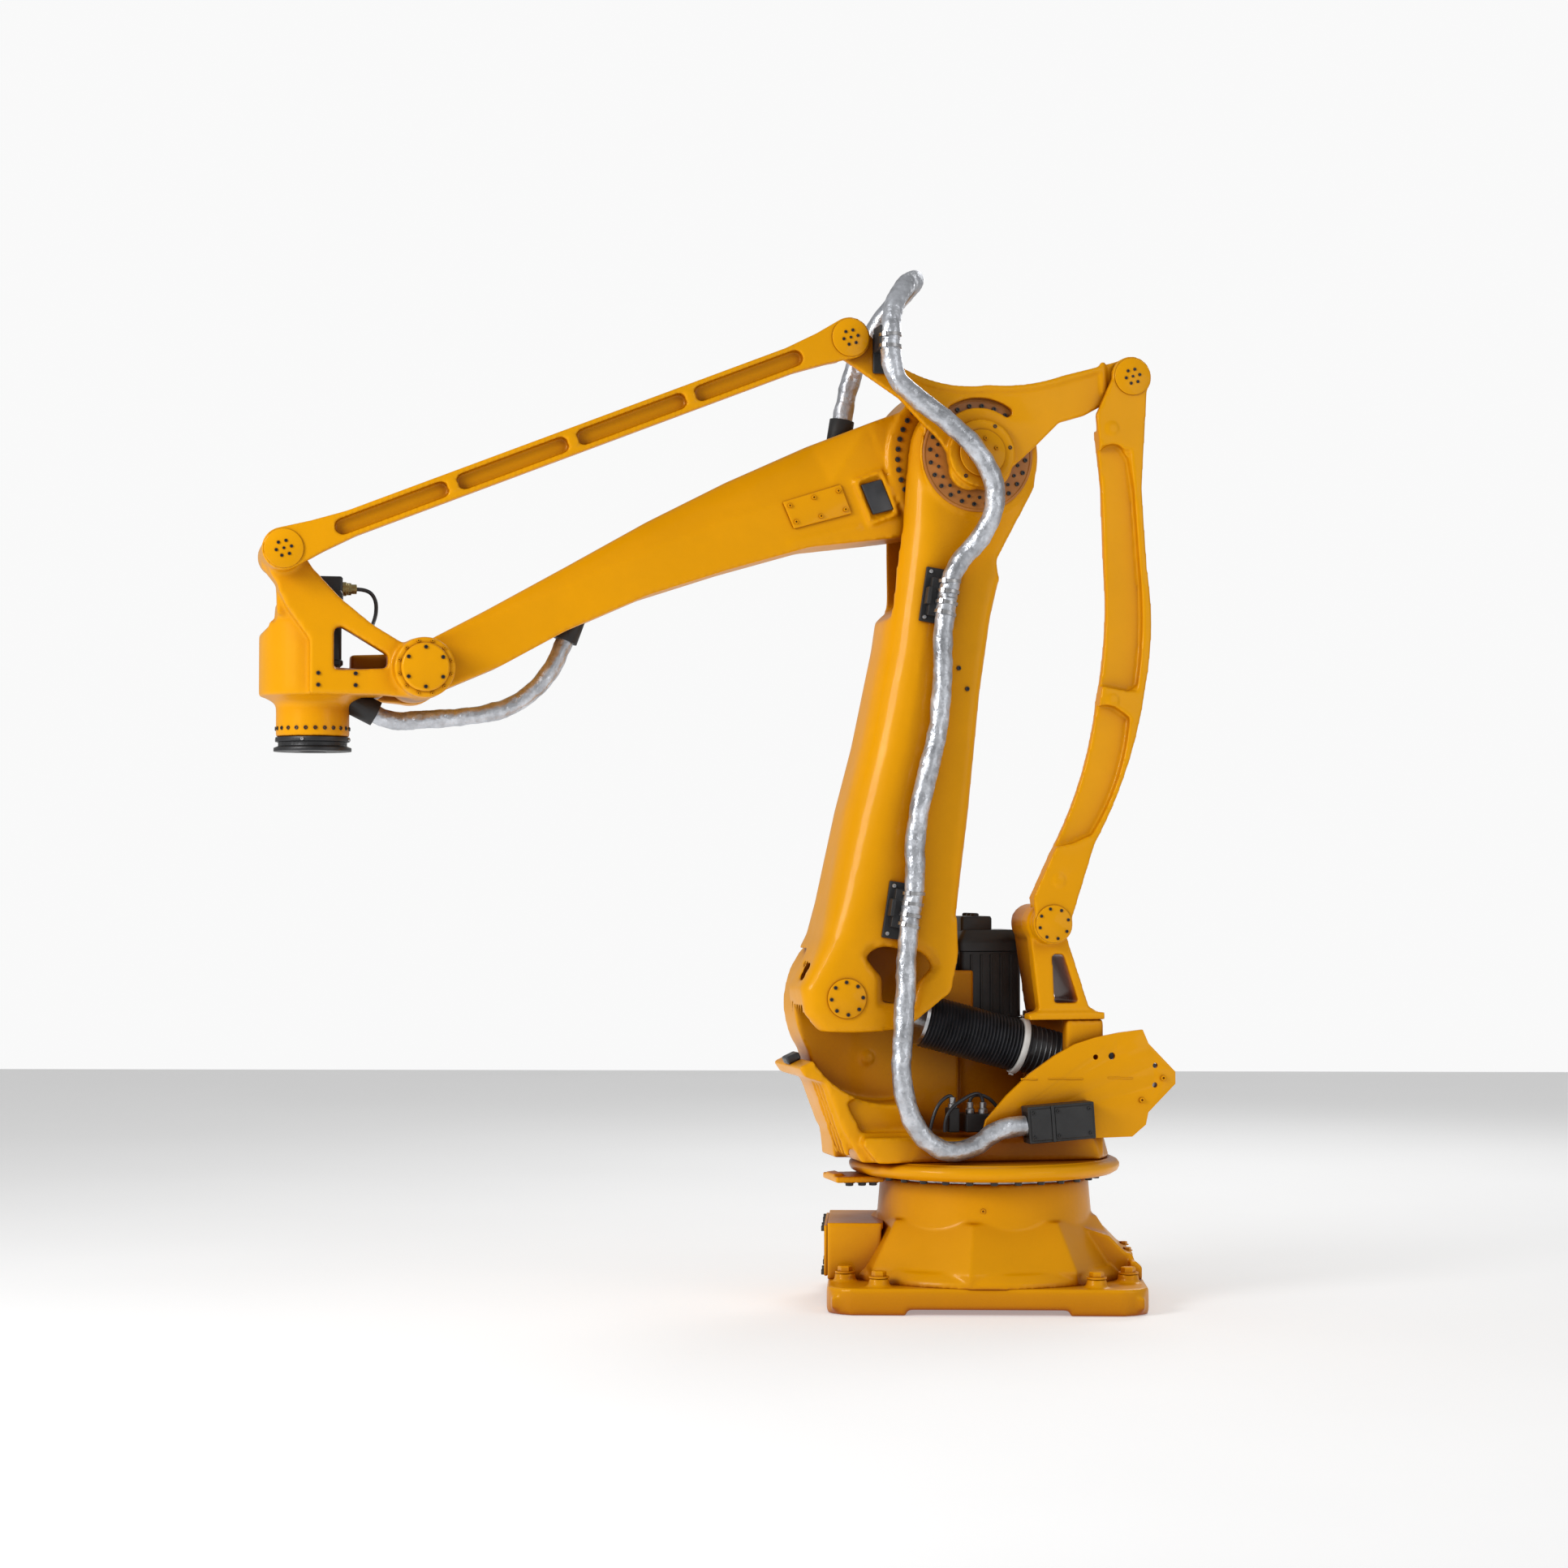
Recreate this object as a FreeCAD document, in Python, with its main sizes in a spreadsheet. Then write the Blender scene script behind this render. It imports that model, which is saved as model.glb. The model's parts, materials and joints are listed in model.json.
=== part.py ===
"""Four-axis palletising robot arm, built as separate castings, motors, links, pins and hoses.

Frame: millimetres, +Z up, origin on the floor at the swivel axis, +X to the front of the base.
The column and all it carries stand turned by `swivel_rest` about Z. They are drawn in the arm
frame, in which X points along the arm, Y towards its link side and Z up.
"""
import FreeCAD
import Part
import Sketcher
import math
import os
from FreeCAD import Placement, Rotation, Vector

doc = FreeCAD.newDocument("palletising_robot")
sheet = doc.addObject("Spreadsheet::Sheet", "sizes")

SIZES = [
    # reach and rest pose
    ("swivel_rest", 14.4, "arm turned about the swivel axis, degrees"),
    ("shoulder_forward", 255, "shoulder axis in front of the swivel axis"),
    ("shoulder_height", 690, "shoulder axis above the floor"),
    ("arm_length", 1281, "shoulder axis to elbow axis"),
    ("arm_lean", 8.7, "lower arm leans back, degrees"),
    ("forearm_length", 1370, "elbow axis to wrist axis"),
    ("forearm_dip", 21.8, "forearm points down, degrees"),
    ("front_reach", 313, "front link pivot ahead of its axis"),
    ("front_rise", 253, "front link pivot above its axis"),
    ("rear_reach", 359, "rear link pivot behind its axis"),
    ("rear_rise", 187, "rear link pivot above its axis"),
    ("tool_forward", 233, "tool axis ahead of the wrist axis"),
    # layers across the arm, each measured from its middle plane
    ("arm_half", 166, "side face of the lower arm"),
    ("cheek_wall", 32, "wall of the lower arm's bottom cheeks"),
    ("fork_wall", 63, "wall of the lower arm's top fork"),
    ("hub_gap", 6, "top fork to the forearm's hub"),
    ("beam_step", 9, "forearm's hub proud of its beam"),
    ("disc_step", 6, "elbow disc proud of the lower arm"),
    ("crank_gap", 6, "elbow disc to the bell crank"),
    ("crank_thick", 19, "bell crank"),
    ("eye_gap", 5, "bell crank to the link eyes"),
    ("eye_thick", 18, "link eye"),
    ("cap_thick", 4, "pivot cap"),
    ("cap_gap", 0.5, "pivot cap to link eye"),
    # pivots
    ("pin_radius", 20, "link pivot pin"),
    ("eye_radius", 47, "link eye and pivot boss"),
    ("cap_radius", 43, "pivot cap"),
    ("running_gap", 0.05, "radial clearance of a turning pin"),
    ("seat_gap", 0.3, "clearance of a seat between bodies"),
    ("elbow_axle_radius", 60, "elbow axle"),
    ("wrist_axle_radius", 38, "wrist axle"),
    ("shoulder_axle_radius", 70, "shoulder axle"),
    ("crank_axle_radius", 40, "bell crank axle"),
    # base
    ("plate_half_length", 364, "base plate, half along X"),
    ("plate_half_width", 327, "base plate, half along Y"),
    ("plate_corner", 70, "base plate corner radius"),
    ("plate_thick", 48, "base plate"),
    ("foot_height", 12, "corner foot under the plate"),
    ("foot_side", 180, "corner foot side"),
    ("boss_height", 20, "floor bolt boss above the plate"),
    ("boss_radius", 24, "floor bolt boss"),
    ("floor_hole_radius", 11, "floor bolt hole"),
    ("outer_bolt_x", 323, "end bolts, along X"),
    ("outer_bolt_y", 190, "end bolts, along Y"),
    ("inner_bolt_x", 245, "side bolts, along X"),
    ("inner_bolt_y", 285, "side bolts, along Y"),
    ("flare_radius", 320, "pedestal flare at the plate"),
    ("waist_height", 181, "top of the flare"),
    ("waist_radius", 252, "pedestal at the top of the flare"),
    ("neck_radius", 243, "pedestal neck at its top"),
    ("neck_height", 286, "top of the pedestal neck"),
    ("cable_box_front", 364, "front of the cable box"),
    ("cable_box_half", 150, "cable box, half width"),
    ("cable_box_height", 188, "top of the cable box"),
    ("cable_cover_thick", 8, "cable box cover"),
    # column
    ("bearing_height", 8, "slewing bearing"),
    ("ring_radius", 316, "turntable ring"),
    ("ring_height", 38, "turntable ring"),
    ("deck_height", 384, "column deck above the floor"),
    ("deck_half", 186, "column deck, half width"),
    ("deck_radius", 292, "column deck"),
    ("drum_radius", 199, "shoulder housing"),
    ("drum_near", 2, "shoulder housing, near face behind the middle plane"),
    ("drum_gap", 5, "bottom cheek to the shoulder housing"),
    ("sweep_radius", 227, "clear of the lower arm's bottom end"),
    ("tower_foot", 655, "underside of the link tower"),
    ("motor_seat", 640, "underside of the swivel motor"),
    ("motor_half", 80, "swivel motor, half side"),
    ("motor_near", 20, "swivel motor, near face behind the middle plane"),
    ("motor_gap", 2, "swivel motor to the shoulder housing"),
    ("motor_top", 860, "top of the swivel motor"),
    ("side_plate_inner", 190, "inner face of the side plates"),
    ("side_plate_thick", 12, "side plate"),
    # balancer, measured along its own axis from its rear pin
    ("balancer_side", 66, "balancer, from the middle plane"),
    ("balancer_pin_u", 117, "front pin ahead of the arm's centre line"),
    ("balancer_rear_x", -365, "rear pin, along X"),
    ("balancer_rear_z", 510, "rear pin above the floor"),
    ("balancer_pin_radius", 25, "balancer pins"),
    ("balancer_eye_radius", 45, "balancer eyes"),
    ("balancer_eye_half", 30, "balancer eyes, half width"),
    ("cylinder_radius", 56, "balancer cylinder"),
    ("cylinder_front", 318, "front face of the cylinder"),
    ("gland_radius", 33, "bore of the cylinder"),
    ("rod_radius", 20, "balancer rod"),
    ("rod_length", 430, "front pin to the rod's end"),
    ("collar_reach", 205, "front pin to the rod's collar"),
    ("collar_thick", 8, "collar on the rod"),
    ("bellows_radius", 62, "bellows"),
    ("bellows_wall", 14, "bellows folds"),
    # forearm, wrist and tool
    ("hub_radius", 194, "forearm hub flange"),
    ("hub_back_radius", 138, "forearm hub behind its axis"),
    ("tip_radius", 66, "forearm tip"),
    ("barrel_radius", 120, "wrist barrel"),
    ("neck_wrist_radius", 82, "wrist neck"),
    ("barrel_low", 60, "barrel below the wrist axis"),
    ("neck_low", 150, "neck below the wrist axis"),
    ("flange_low", 182, "tool flange face below the wrist axis"),
    ("flange_radius", 82, "tool flange"),
    ("flange_gap", 0.3, "tool flange to neck"),
    ("flange_pitch_radius", 62.5, "tool bolt circle"),
    ("flange_hole_radius", 5, "tool bolt hole"),
    ("flange_holes", 6, "number of tool bolts"),
    ("pilot_radius", 31.5, "tool pilot bore"),
    ("pilot_depth", 10, "tool pilot bore"),
    ("hose_radius", 23, "hose sleeve"),
    ("hose_stand", 42, "hose line in its clamps, off the lower arm's side face"),
    ("crank_hose_stand", 59, "hose line in the crank clamp, off the bell crank"),
]

LAYERS = [
    ("cheek_half", "arm_half - cheek_wall", "inner face of the lower arm's bottom cheeks"),
    ("fork_half", "arm_half - fork_wall", "inner face of the top fork and of the wrist fork"),
    ("hub_half", "fork_half - hub_gap", "side face of the forearm's hub and tip"),
    ("forearm_half", "hub_half - beam_step", "side face of the forearm between hub and tip"),
    ("disc_face", "arm_half + disc_step", "face of the elbow discs, the wrist fork and the tower"),
    ("crank_inner", "disc_face + crank_gap", "inner face of the bell crank and of the link bars"),
    ("crank_outer", "crank_inner + crank_thick", "outer face of the bell crank and pivot bosses"),
    ("eye_inner", "crank_outer + eye_gap", "inner face of the link eyes"),
    ("link_outer", "eye_inner + eye_thick", "outer face of the links"),
    ("drum_far", "cheek_half - drum_gap", "shoulder housing, far face behind the middle plane"),
]


def fill_sheet():
    """Write every driving size to the sheet, then the layers that follow from them."""
    rows = SIZES + [(alias, "=" + rule, note) for alias, rule, note in LAYERS]
    for row, (alias, value, note) in enumerate(rows, start=1):
        sheet.set(f"A{row}", note)
        sheet.set(f"B{row}", str(value))
        sheet.setAlias(f"B{row}", alias)
    doc.recompute()


fill_sheet()


def size(alias):
    """Read one driving size from the sheet."""
    return float(sheet.get(alias))


# ---------------------------------------------------------------- places

def arm_place(x=0.0, y=0.0, z=0.0, turn=None):
    """Placement of a point of the arm frame, with a local turn, in the row frame."""
    swivel = Placement(Vector(0, 0, 0), Rotation(Vector(0, 0, 1), size("swivel_rest")))
    return swivel.multiply(Placement(Vector(x, y, z), turn or Rotation()))


def pitch(degrees):
    """Turn about the arm's Y axis, nose down when positive."""
    return Rotation(Vector(0, 1, 0), degrees)


ACROSS = Rotation(Vector(1, 0, 0), -90)     # a turned piece's axis laid along Y

shoulder = Vector(size("shoulder_forward"), 0, size("shoulder_height"))
lean = math.radians(size("arm_lean"))
dip = math.radians(size("forearm_dip"))
elbow = shoulder + Vector(-math.sin(lean), 0, math.cos(lean)) * size("arm_length")
wrist = elbow + Vector(math.cos(dip), 0, -math.sin(dip)) * size("forearm_length")
front_offset = Vector(size("front_reach"), 0, size("front_rise"))
rear_offset = Vector(-size("rear_reach"), 0, size("rear_rise"))
crank_front = elbow + front_offset
crank_rear = elbow + rear_offset
tower_pivot = shoulder + rear_offset
wrist_top = wrist + front_offset
tool_x = wrist.x + size("tool_forward")
balancer_rear = Vector(size("balancer_rear_x"), 0, size("balancer_rear_z"))
balancer_front = shoulder + Vector(math.cos(lean), 0, math.sin(lean)) * size("balancer_pin_u")
balancer_line = balancer_front - balancer_rear
balancer_pitch = -math.degrees(math.atan2(balancer_line.z, balancer_line.x))
bumper_way = Vector(math.cos(math.radians(-32.9)), 0, math.sin(math.radians(-32.9)))
bumper_foot = shoulder + bumper_way * (size("sweep_radius") + 2)
plate_top = size("foot_height") + size("plate_thick")
ring_low = size("neck_height") + size("bearing_height") + size("seat_gap")
ring_top = ring_low + size("ring_height")


def lower_arm_place():
    """Frame of the lower arm and of the rear link: Z along the arm."""
    return arm_place(shoulder.x, 0, shoulder.z, pitch(-size("arm_lean")))


def forearm_place():
    """Frame of the forearm: X along the forearm."""
    return arm_place(elbow.x, 0, elbow.z, pitch(size("forearm_dip")))


def balancer_place():
    """Frame of the balancer: X from its rear pin to its front pin."""
    return arm_place(balancer_rear.x, size("balancer_side"), balancer_rear.z,
                     pitch(balancer_pitch))


# ---------------------------------------------------------------- sketches and bodies

def origin_plane(body, role):
    """Find one of a body's own origin planes."""
    return next(f for f in body.Origin.OriginFeatures if f.Role == role)


def bind(target, prop, value):
    """Set a property to a number, or bind it to an expression on the sheet."""
    if isinstance(value, str):
        target.setExpression(prop, value)
    else:
        setattr(target, prop, value)


def attach(body, name, plane, offset=None):
    """Start a sketch on a body's own plane, moved along its normal by `offset`."""
    sketch = body.newObject("Sketcher::SketchObject", name)
    sketch.AttachmentSupport = [(origin_plane(body, plane), "")]
    sketch.MapMode = "FlatFace"
    if offset:
        sketch.setExpression("AttachmentOffset.Base.z", offset)
    return sketch


def number(value):
    """The number that a sheet expression stands for, worked out in a spare cell."""
    if not isinstance(value, str):
        return float(value)
    sheet.set("D1", "=" + value.replace("sizes.", ""))
    sheet.recompute()
    return float(sheet.get("D1"))


def constrain(sketch, rule, value):
    """Add a constraint and bind it to the sheet where its value is an expression."""
    place = sketch.addConstraint(rule)
    if isinstance(value, str):
        sketch.setExpression(f"Constraints[{place}]", value)


def draw_polygon(sketch, corners):
    """Draw a closed outline; each corner's two distances are numbers or sheet expressions."""
    points = [Vector(number(x), number(y), 0) for x, y in corners]
    for here, there in zip(points, points[1:] + points[:1]):
        sketch.addGeometry(Part.LineSegment(here, there), False)
    for side in range(len(points)):
        following = (side + 1) % len(points)
        sketch.addConstraint(Sketcher.Constraint("Coincident", side, 2, following, 1))
    for side, (corner, point) in enumerate(zip(corners, points)):
        constrain(sketch, Sketcher.Constraint("DistanceX", -1, 1, side, 1, point.x), corner[0])
        constrain(sketch, Sketcher.Constraint("DistanceY", -1, 1, side, 1, point.y), corner[1])


def draw_circle(sketch, x, y, radius):
    """Draw a circle whose centre and radius are numbers or sheet expressions."""
    centre = Vector(number(x), number(y), 0)
    ring = Part.Circle(centre, Vector(0, 0, 1), number(radius))
    place = sketch.addGeometry(ring, False)
    constrain(sketch, Sketcher.Constraint("DistanceX", -1, 1, place, 3, centre.x), x)
    constrain(sketch, Sketcher.Constraint("DistanceY", -1, 1, place, 3, centre.y), y)
    constrain(sketch, Sketcher.Constraint("Radius", place, number(radius)), radius)


def turned_body(name, profile, place):
    """A body of revolution about its own Z axis, from (radius, height) corners."""
    body = doc.addObject("PartDesign::Body", name)
    sketch = attach(body, name + "_profile", "XZ_Plane")
    draw_polygon(sketch, profile)
    spin = body.newObject("PartDesign::Revolution", name + "_turn")
    spin.Profile = sketch
    spin.ReferenceAxis = (sketch, ["V_Axis"])
    spin.Angle = 360.0
    body.Placement = place
    return body


def plate_body(name, corners, thickness, place, holes=()):
    """A flat plate drawn in the XZ plane and padded towards -Y, with round holes."""
    body = doc.addObject("PartDesign::Body", name)
    sketch = attach(body, name + "_outline", "XZ_Plane")
    draw_polygon(sketch, corners)
    for x, y, radius in holes:
        draw_circle(sketch, x, y, radius)
    pad = body.newObject("PartDesign::Pad", name + "_pad")
    pad.Profile = sketch
    bind(pad, "Length", thickness)
    body.Placement = place
    return body


def pocket(body, name, sketch, length, reverse=False):
    """Cut a sketch into its body."""
    cut = body.newObject("PartDesign::Pocket", name)
    cut.Profile = sketch
    bind(cut, "Length", length)
    cut.Reversed = reverse
    return cut


# ---------------------------------------------------------------- primitives

def make_box(name, length, width, height, place):
    """A box whose sides are numbers or sheet expressions."""
    box = doc.addObject("Part::Box", name)
    bind(box, "Length", length)
    bind(box, "Width", width)
    bind(box, "Height", height)
    box.Placement = place
    return box


def make_cylinder(name, radius, height, place):
    """A cylinder whose sizes are numbers or sheet expressions."""
    rod = doc.addObject("Part::Cylinder", name)
    bind(rod, "Radius", radius)
    bind(rod, "Height", height)
    rod.Placement = place
    return rod


def make_fuse(name, pieces):
    """One solid joined from several."""
    joined = doc.addObject("Part::MultiFuse", name)
    joined.Shapes = pieces
    joined.Refine = True
    return joined


def make_cut(name, base, tool):
    """A solid less its tool."""
    cut = doc.addObject("Part::Cut", name)
    cut.Base = base
    cut.Tool = tool
    cut.Refine = True
    return cut


# ---------------------------------------------------------------- free shapes

def outline(start, *steps):
    """A closed wire in the XZ plane. A step (x, z) is straight, (xm, zm, x, z) an arc."""
    edges = []
    here = Vector(start[0], 0, start[1])
    for step in steps + (start,):
        there = Vector(step[-2], 0, step[-1])
        if len(step) == 4:
            middle = Vector(step[0], 0, step[1])
            edges.append(Part.Arc(here, middle, there).toShape())
        elif here.distanceToPoint(there) > 1e-6:
            edges.append(Part.LineSegment(here, there).toShape())
        here = there
    return Part.Wire(edges)


def slab(wire, low, high):
    """Extrude a wire of the XZ plane between two Y levels."""
    face = Part.Face(wire)
    face.translate(Vector(0, low, 0))
    return face.extrude(Vector(0, high - low, 0))


def disc(x, z, radius, low, high):
    """A round piece along Y."""
    return Part.makeCylinder(radius, high - low, Vector(x, low, z), Vector(0, 1, 0))


def brick(low, high):
    """A box between two corners."""
    low = Vector(*low)
    span = Vector(*high) - low
    return Part.makeBox(span.x, span.y, span.z, low)


def casting(name, shape, place):
    """A cast piece with a free outline."""
    piece = doc.addObject("Part::Feature", name)
    piece.Shape = shape.removeSplitter()
    piece.Placement = place
    return piece


# ---------------------------------------------------------------- base

def corner_places(x_alias, y_alias):
    """The four (x, y) expressions of a bolt rectangle."""
    return [(f"{sx}sizes.{x_alias}", f"{sy}sizes.{y_alias}") for sx in ("", "-") for sy in ("", "-")]


BOLTS = corner_places("outer_bolt_x", "outer_bolt_y") + corner_places("inner_bolt_x", "inner_bolt_y")


def signed(expression):
    """The number that a signed alias of `corner_places` stands for."""
    sign = -1 if expression.startswith("-") else 1
    return sign * size(expression.split(".")[1])


def build_base_plate():
    """Rounded floor plate on four corner feet, with eight bosses and floor bolt holes."""
    half_x, half_y = size("plate_half_length"), size("plate_half_width")
    low, foot = size("foot_height"), size("foot_side")
    plate = brick((-half_x, -half_y, low), (half_x, half_y, plate_top))
    for sx in (-1, 1):
        for sy in (-1, 1):
            near = (min(sx * half_x, sx * (half_x - foot)), min(sy * half_y, sy * (half_y - foot)), 0)
            plate = plate.fuse(brick(near, (near[0] + foot, near[1] + foot, low)))
    plate = plate.removeSplitter()
    upright = [e for e in plate.Edges if is_outer_corner(e, half_x, half_y)]
    plate = plate.makeFillet(size("plate_corner"), upright)
    for x, y in BOLTS:
        centre = Vector(signed(x), signed(y), plate_top)
        plate = plate.fuse(Part.makeCylinder(size("boss_radius"), size("boss_height"), centre))
    for x, y in BOLTS:
        foot_point = Vector(signed(x), signed(y), -1)
        height = plate_top + size("boss_height") + 2
        plate = plate.cut(Part.makeCylinder(size("floor_hole_radius"), height, foot_point))
    casting("base_plate", plate, Placement())


def is_outer_corner(edge, half_x, half_y):
    """True for an upright edge at a corner of the base plate."""
    middle = edge.CenterOfMass
    return abs(abs(middle.x) - half_x) < 1 and abs(abs(middle.y) - half_y) < 1


def build_pedestal():
    """Flared pedestal that rises from the plate to the slewing bearing."""
    foot = "sizes.foot_height + sizes.plate_thick"
    profile = [(0, foot), ("sizes.flare_radius", foot), ("sizes.waist_radius", "sizes.waist_height"),
               ("sizes.neck_radius", "sizes.neck_height"), (0, "sizes.neck_height")]
    turned_body("pedestal", profile, Placement())


def build_slewing_bearing():
    """Bearing ring between the pedestal and the turntable."""
    top = "sizes.neck_height + sizes.bearing_height"
    inner, outer = "sizes.neck_radius - 70", "sizes.neck_radius - 8"
    profile = [(inner, "sizes.neck_height"), (outer, "sizes.neck_height"), (outer, top), (inner, top)]
    turned_body("slewing_bearing", profile, Placement())


def build_cable_box():
    """Connector box on the front of the base, hollowed out to follow the pedestal."""
    depth = size("cable_box_front") - size("neck_radius")
    height = size("cable_box_height") - plate_top
    at = Placement(Vector(size("neck_radius"), -size("cable_box_half"), plate_top), Rotation())
    shell = make_box("cable_box_block", depth, "2 * sizes.cable_box_half", height, at)
    shell.setExpression("Length", "sizes.cable_box_front - sizes.neck_radius")
    low = "sizes.foot_height + sizes.plate_thick"
    shell.setExpression("Height", f"sizes.cable_box_height - ({low})")
    flare = doc.addObject("Part::Cone", "cable_box_hollow")
    flare.setExpression("Radius1", "sizes.flare_radius + sizes.seat_gap")
    flare.setExpression("Radius2", "sizes.waist_radius + sizes.seat_gap")
    flare.setExpression("Height", f"sizes.waist_height - ({low})")
    flare.Placement = Placement(Vector(0, 0, plate_top), Rotation())
    collar = make_cylinder("cable_box_collar", "sizes.waist_radius + sizes.seat_gap", 60,
                           Placement(Vector(0, 0, size("waist_height") - 1), Rotation()))
    hollow = make_fuse("cable_box_hollows", [flare, collar])
    make_cut("cable_box", shell, hollow)


def build_cable_cover():
    """Flat cover screwed to the front of the cable box."""
    margin = 6
    height = size("cable_box_height") - plate_top - 2 * margin
    at = Placement(Vector(size("cable_box_front"), -size("cable_box_half") + margin,
                          plate_top + margin), Rotation())
    make_box("cable_box_cover", "sizes.cable_cover_thick",
             f"2 * sizes.cable_box_half - {2 * margin}", height, at)


# ---------------------------------------------------------------- column

def build_turntable_ring():
    """Wide ring under the column."""
    profile = [(0, 0), ("sizes.ring_radius - 22", 0), ("sizes.ring_radius", 10),
               ("sizes.ring_radius", "sizes.ring_height - 6"),
               ("sizes.ring_radius - 12", "sizes.ring_height"), (0, "sizes.ring_height")]
    turned_body("turntable_ring", profile, arm_place(0, 0, ring_low))


def build_swivel_stop():
    """Stop lug that hangs under the front of the turntable ring."""
    lug = brick((258, -70, ring_low - 14), (372, 70, ring_low))
    casting("swivel_stop", lug, arm_place())


def column_front():
    """Front wall of the column with the lug that carries the tilt stop."""
    wall = outline((150, ring_top), (330, ring_top), (376, 410), (415, 514), (463, 528),
                   (bumper_foot.x + 31, bumper_foot.z - 14), (bumper_foot.x, bumper_foot.z),
                   (400, 600), (200, 600), (200, 420))
    front = slab(wall, -size("drum_far"), 150)
    return front.cut(disc(shoulder.x, shoulder.z, size("sweep_radius"), -200, 200))


def column_housing():
    """Shoulder housing on the far side, with its round drum on the shoulder axis."""
    radius, low = size("drum_radius"), -size("drum_far")
    drum = disc(shoulder.x, shoulder.z, radius, low, -size("drum_near"))
    skirt = outline((60, ring_top), (360, ring_top), (370, 420), (shoulder.x + 165, 575),
                    (shoulder.x, shoulder.z), (shoulder.x - radius, 640))
    ear = outline((shoulder.x - radius + 20, 620), (22, 620), (22, 766), (64, 766))
    return drum.fuse(slab(skirt, low, -size("drum_near"))).fuse(slab(ear, -18, -size("drum_near")))


def column_rear():
    """Rear blocks that carry the swivel motor, the link tower and the balancer's rear pin."""
    deck, foot = size("deck_height"), size("tower_foot")
    half = size("motor_half")
    x, y = swivel_motor_middle()
    seat_far = max(y - half, -size("deck_half"))
    seat = brick((x - half, seat_far, deck - 40), (x + half, y + half, size("motor_seat")))
    far = brick((-240, -size("drum_far"), deck - 40), (x - half - 4, -size("drum_near"), foot))
    near = brick((-240, size("cheek_half"), deck - 40), (-150, size("disc_face"), foot))
    lug = slab(outline((-240, 440), (-365, 462), (-412, 510), (-365, 557), (-240, 600)), -60, -2)
    ledge = brick((-205, -size("side_plate_inner"), deck - 1), (20, size("side_plate_inner"), 440))
    return seat.fuse([far, near, lug, ledge])


def swivel_motor_middle():
    """Middle of the swivel motor in the arm frame: behind the shoulder housing, on the far side."""
    half = size("motor_half")
    return shoulder.x - size("drum_radius") - size("motor_gap") - half, -size("motor_near") - half


def build_column():
    """Column casting: round deck, front wall, shoulder housing and rear blocks."""
    height = size("deck_height") - ring_top
    deck = Part.makeCone(size("deck_radius"), size("deck_radius") - 14, height, Vector(0, 0, ring_top))
    half = size("deck_half")
    deck = deck.common(brick((-400, -half, ring_top), (400, half, size("deck_height"))))
    shape = deck.fuse([column_front(), column_housing(), column_rear()])
    casting("column_casting", shape, arm_place())


def build_shoulder_axle():
    """Shaft that leaves the far face of the shoulder housing and carries the lower arm."""
    length = "sizes.arm_half - sizes.drum_far - sizes.seat_gap"
    turned_body("shoulder_axle",
                [(0, 0), ("sizes.shoulder_axle_radius", 0), ("sizes.shoulder_axle_radius", length),
                 (0, length)],
                arm_place(shoulder.x, -size("drum_far"), shoulder.z, Rotation(Vector(1, 0, 0), 90)))


def build_stop_bumper():
    """Rubber bumper on the column's front lug, square to the lower arm's path."""
    make_box("stop_bumper", 34, 50, 18, arm_place(bumper_foot.x, -8, bumper_foot.z, pitch(24.3)))


SIDE_PLATE = [(60, 395), (52, 429), (4, 483), (-50, 532), (-113, 575), (-160, 600), (-210, 615),
              (-270, 626), (-324, 632), (-338, 600), (-403, 534), (-403, 506), (-337, 441),
              (-331, 413), (-298, 386), (-200, 384)]


def build_side_plates():
    """The two flat side plates on the column's ledges."""
    holes = [(-210, 570, 6), (-249, 572, 8), (-354, 549, 6), (-353, 504, 6)]
    near_y = size("side_plate_inner") + size("side_plate_thick")
    for name, y in (("near_side_plate", near_y), ("far_side_plate", -size("side_plate_inner"))):
        plate_body(name, SIDE_PLATE, "sizes.side_plate_thick", arm_place(0, y, 0), holes)


def build_rear_pin():
    """Pin of the balancer's rear eye, from the column's lug to the near side plate."""
    length = "sizes.side_plate_inner + 2"
    profile = [(0, 0), ("sizes.balancer_pin_radius", 0), ("sizes.balancer_pin_radius", length),
               (0, length)]
    turned_body("balancer_rear_pin", profile, arm_place(balancer_rear.x, -2, balancer_rear.z, ACROSS))


def build_link_tower():
    """Bracket behind the arm that carries the lower end of the rear link."""
    foot, near = size("tower_foot"), size("disc_face")
    x, z = tower_pivot.x, tower_pivot.z
    radius = size("eye_radius") - 2
    cheek = slab(outline((-233, foot), (-58, foot), (-58, foot + 14), (-85, foot + 22),
                         (x + radius - 3, z - 12), (x, z + radius, x - radius + 3, z - 14),
                         (-204, foot + 31), (-233, foot + 14)), size("cheek_half"), near)
    window = slab(outline((-122, 694), (-180, 694), (-143, 806), (-116, 806)), -200, 200)
    web = slab(outline((-233, foot + 14), (-105, foot + 14), (x + 30, z), (x, z + 30, x - 30, z),
                       (-204, foot + 31)), -12, size("cheek_half"))
    motor_side = swivel_motor_middle()[0] - size("motor_half") - 6
    cover = brick((-233, 0, foot), (motor_side - 8, size("cheek_half"), foot + 14))
    far = brick((-233, -60, foot), (motor_side, 0, foot + 14))
    boss = disc(x, z, radius, 24, size("crank_outer"))
    shape = cheek.fuse([web, cover, far]).cut(window).fuse(boss)
    casting("link_tower", shape, arm_place())


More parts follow.
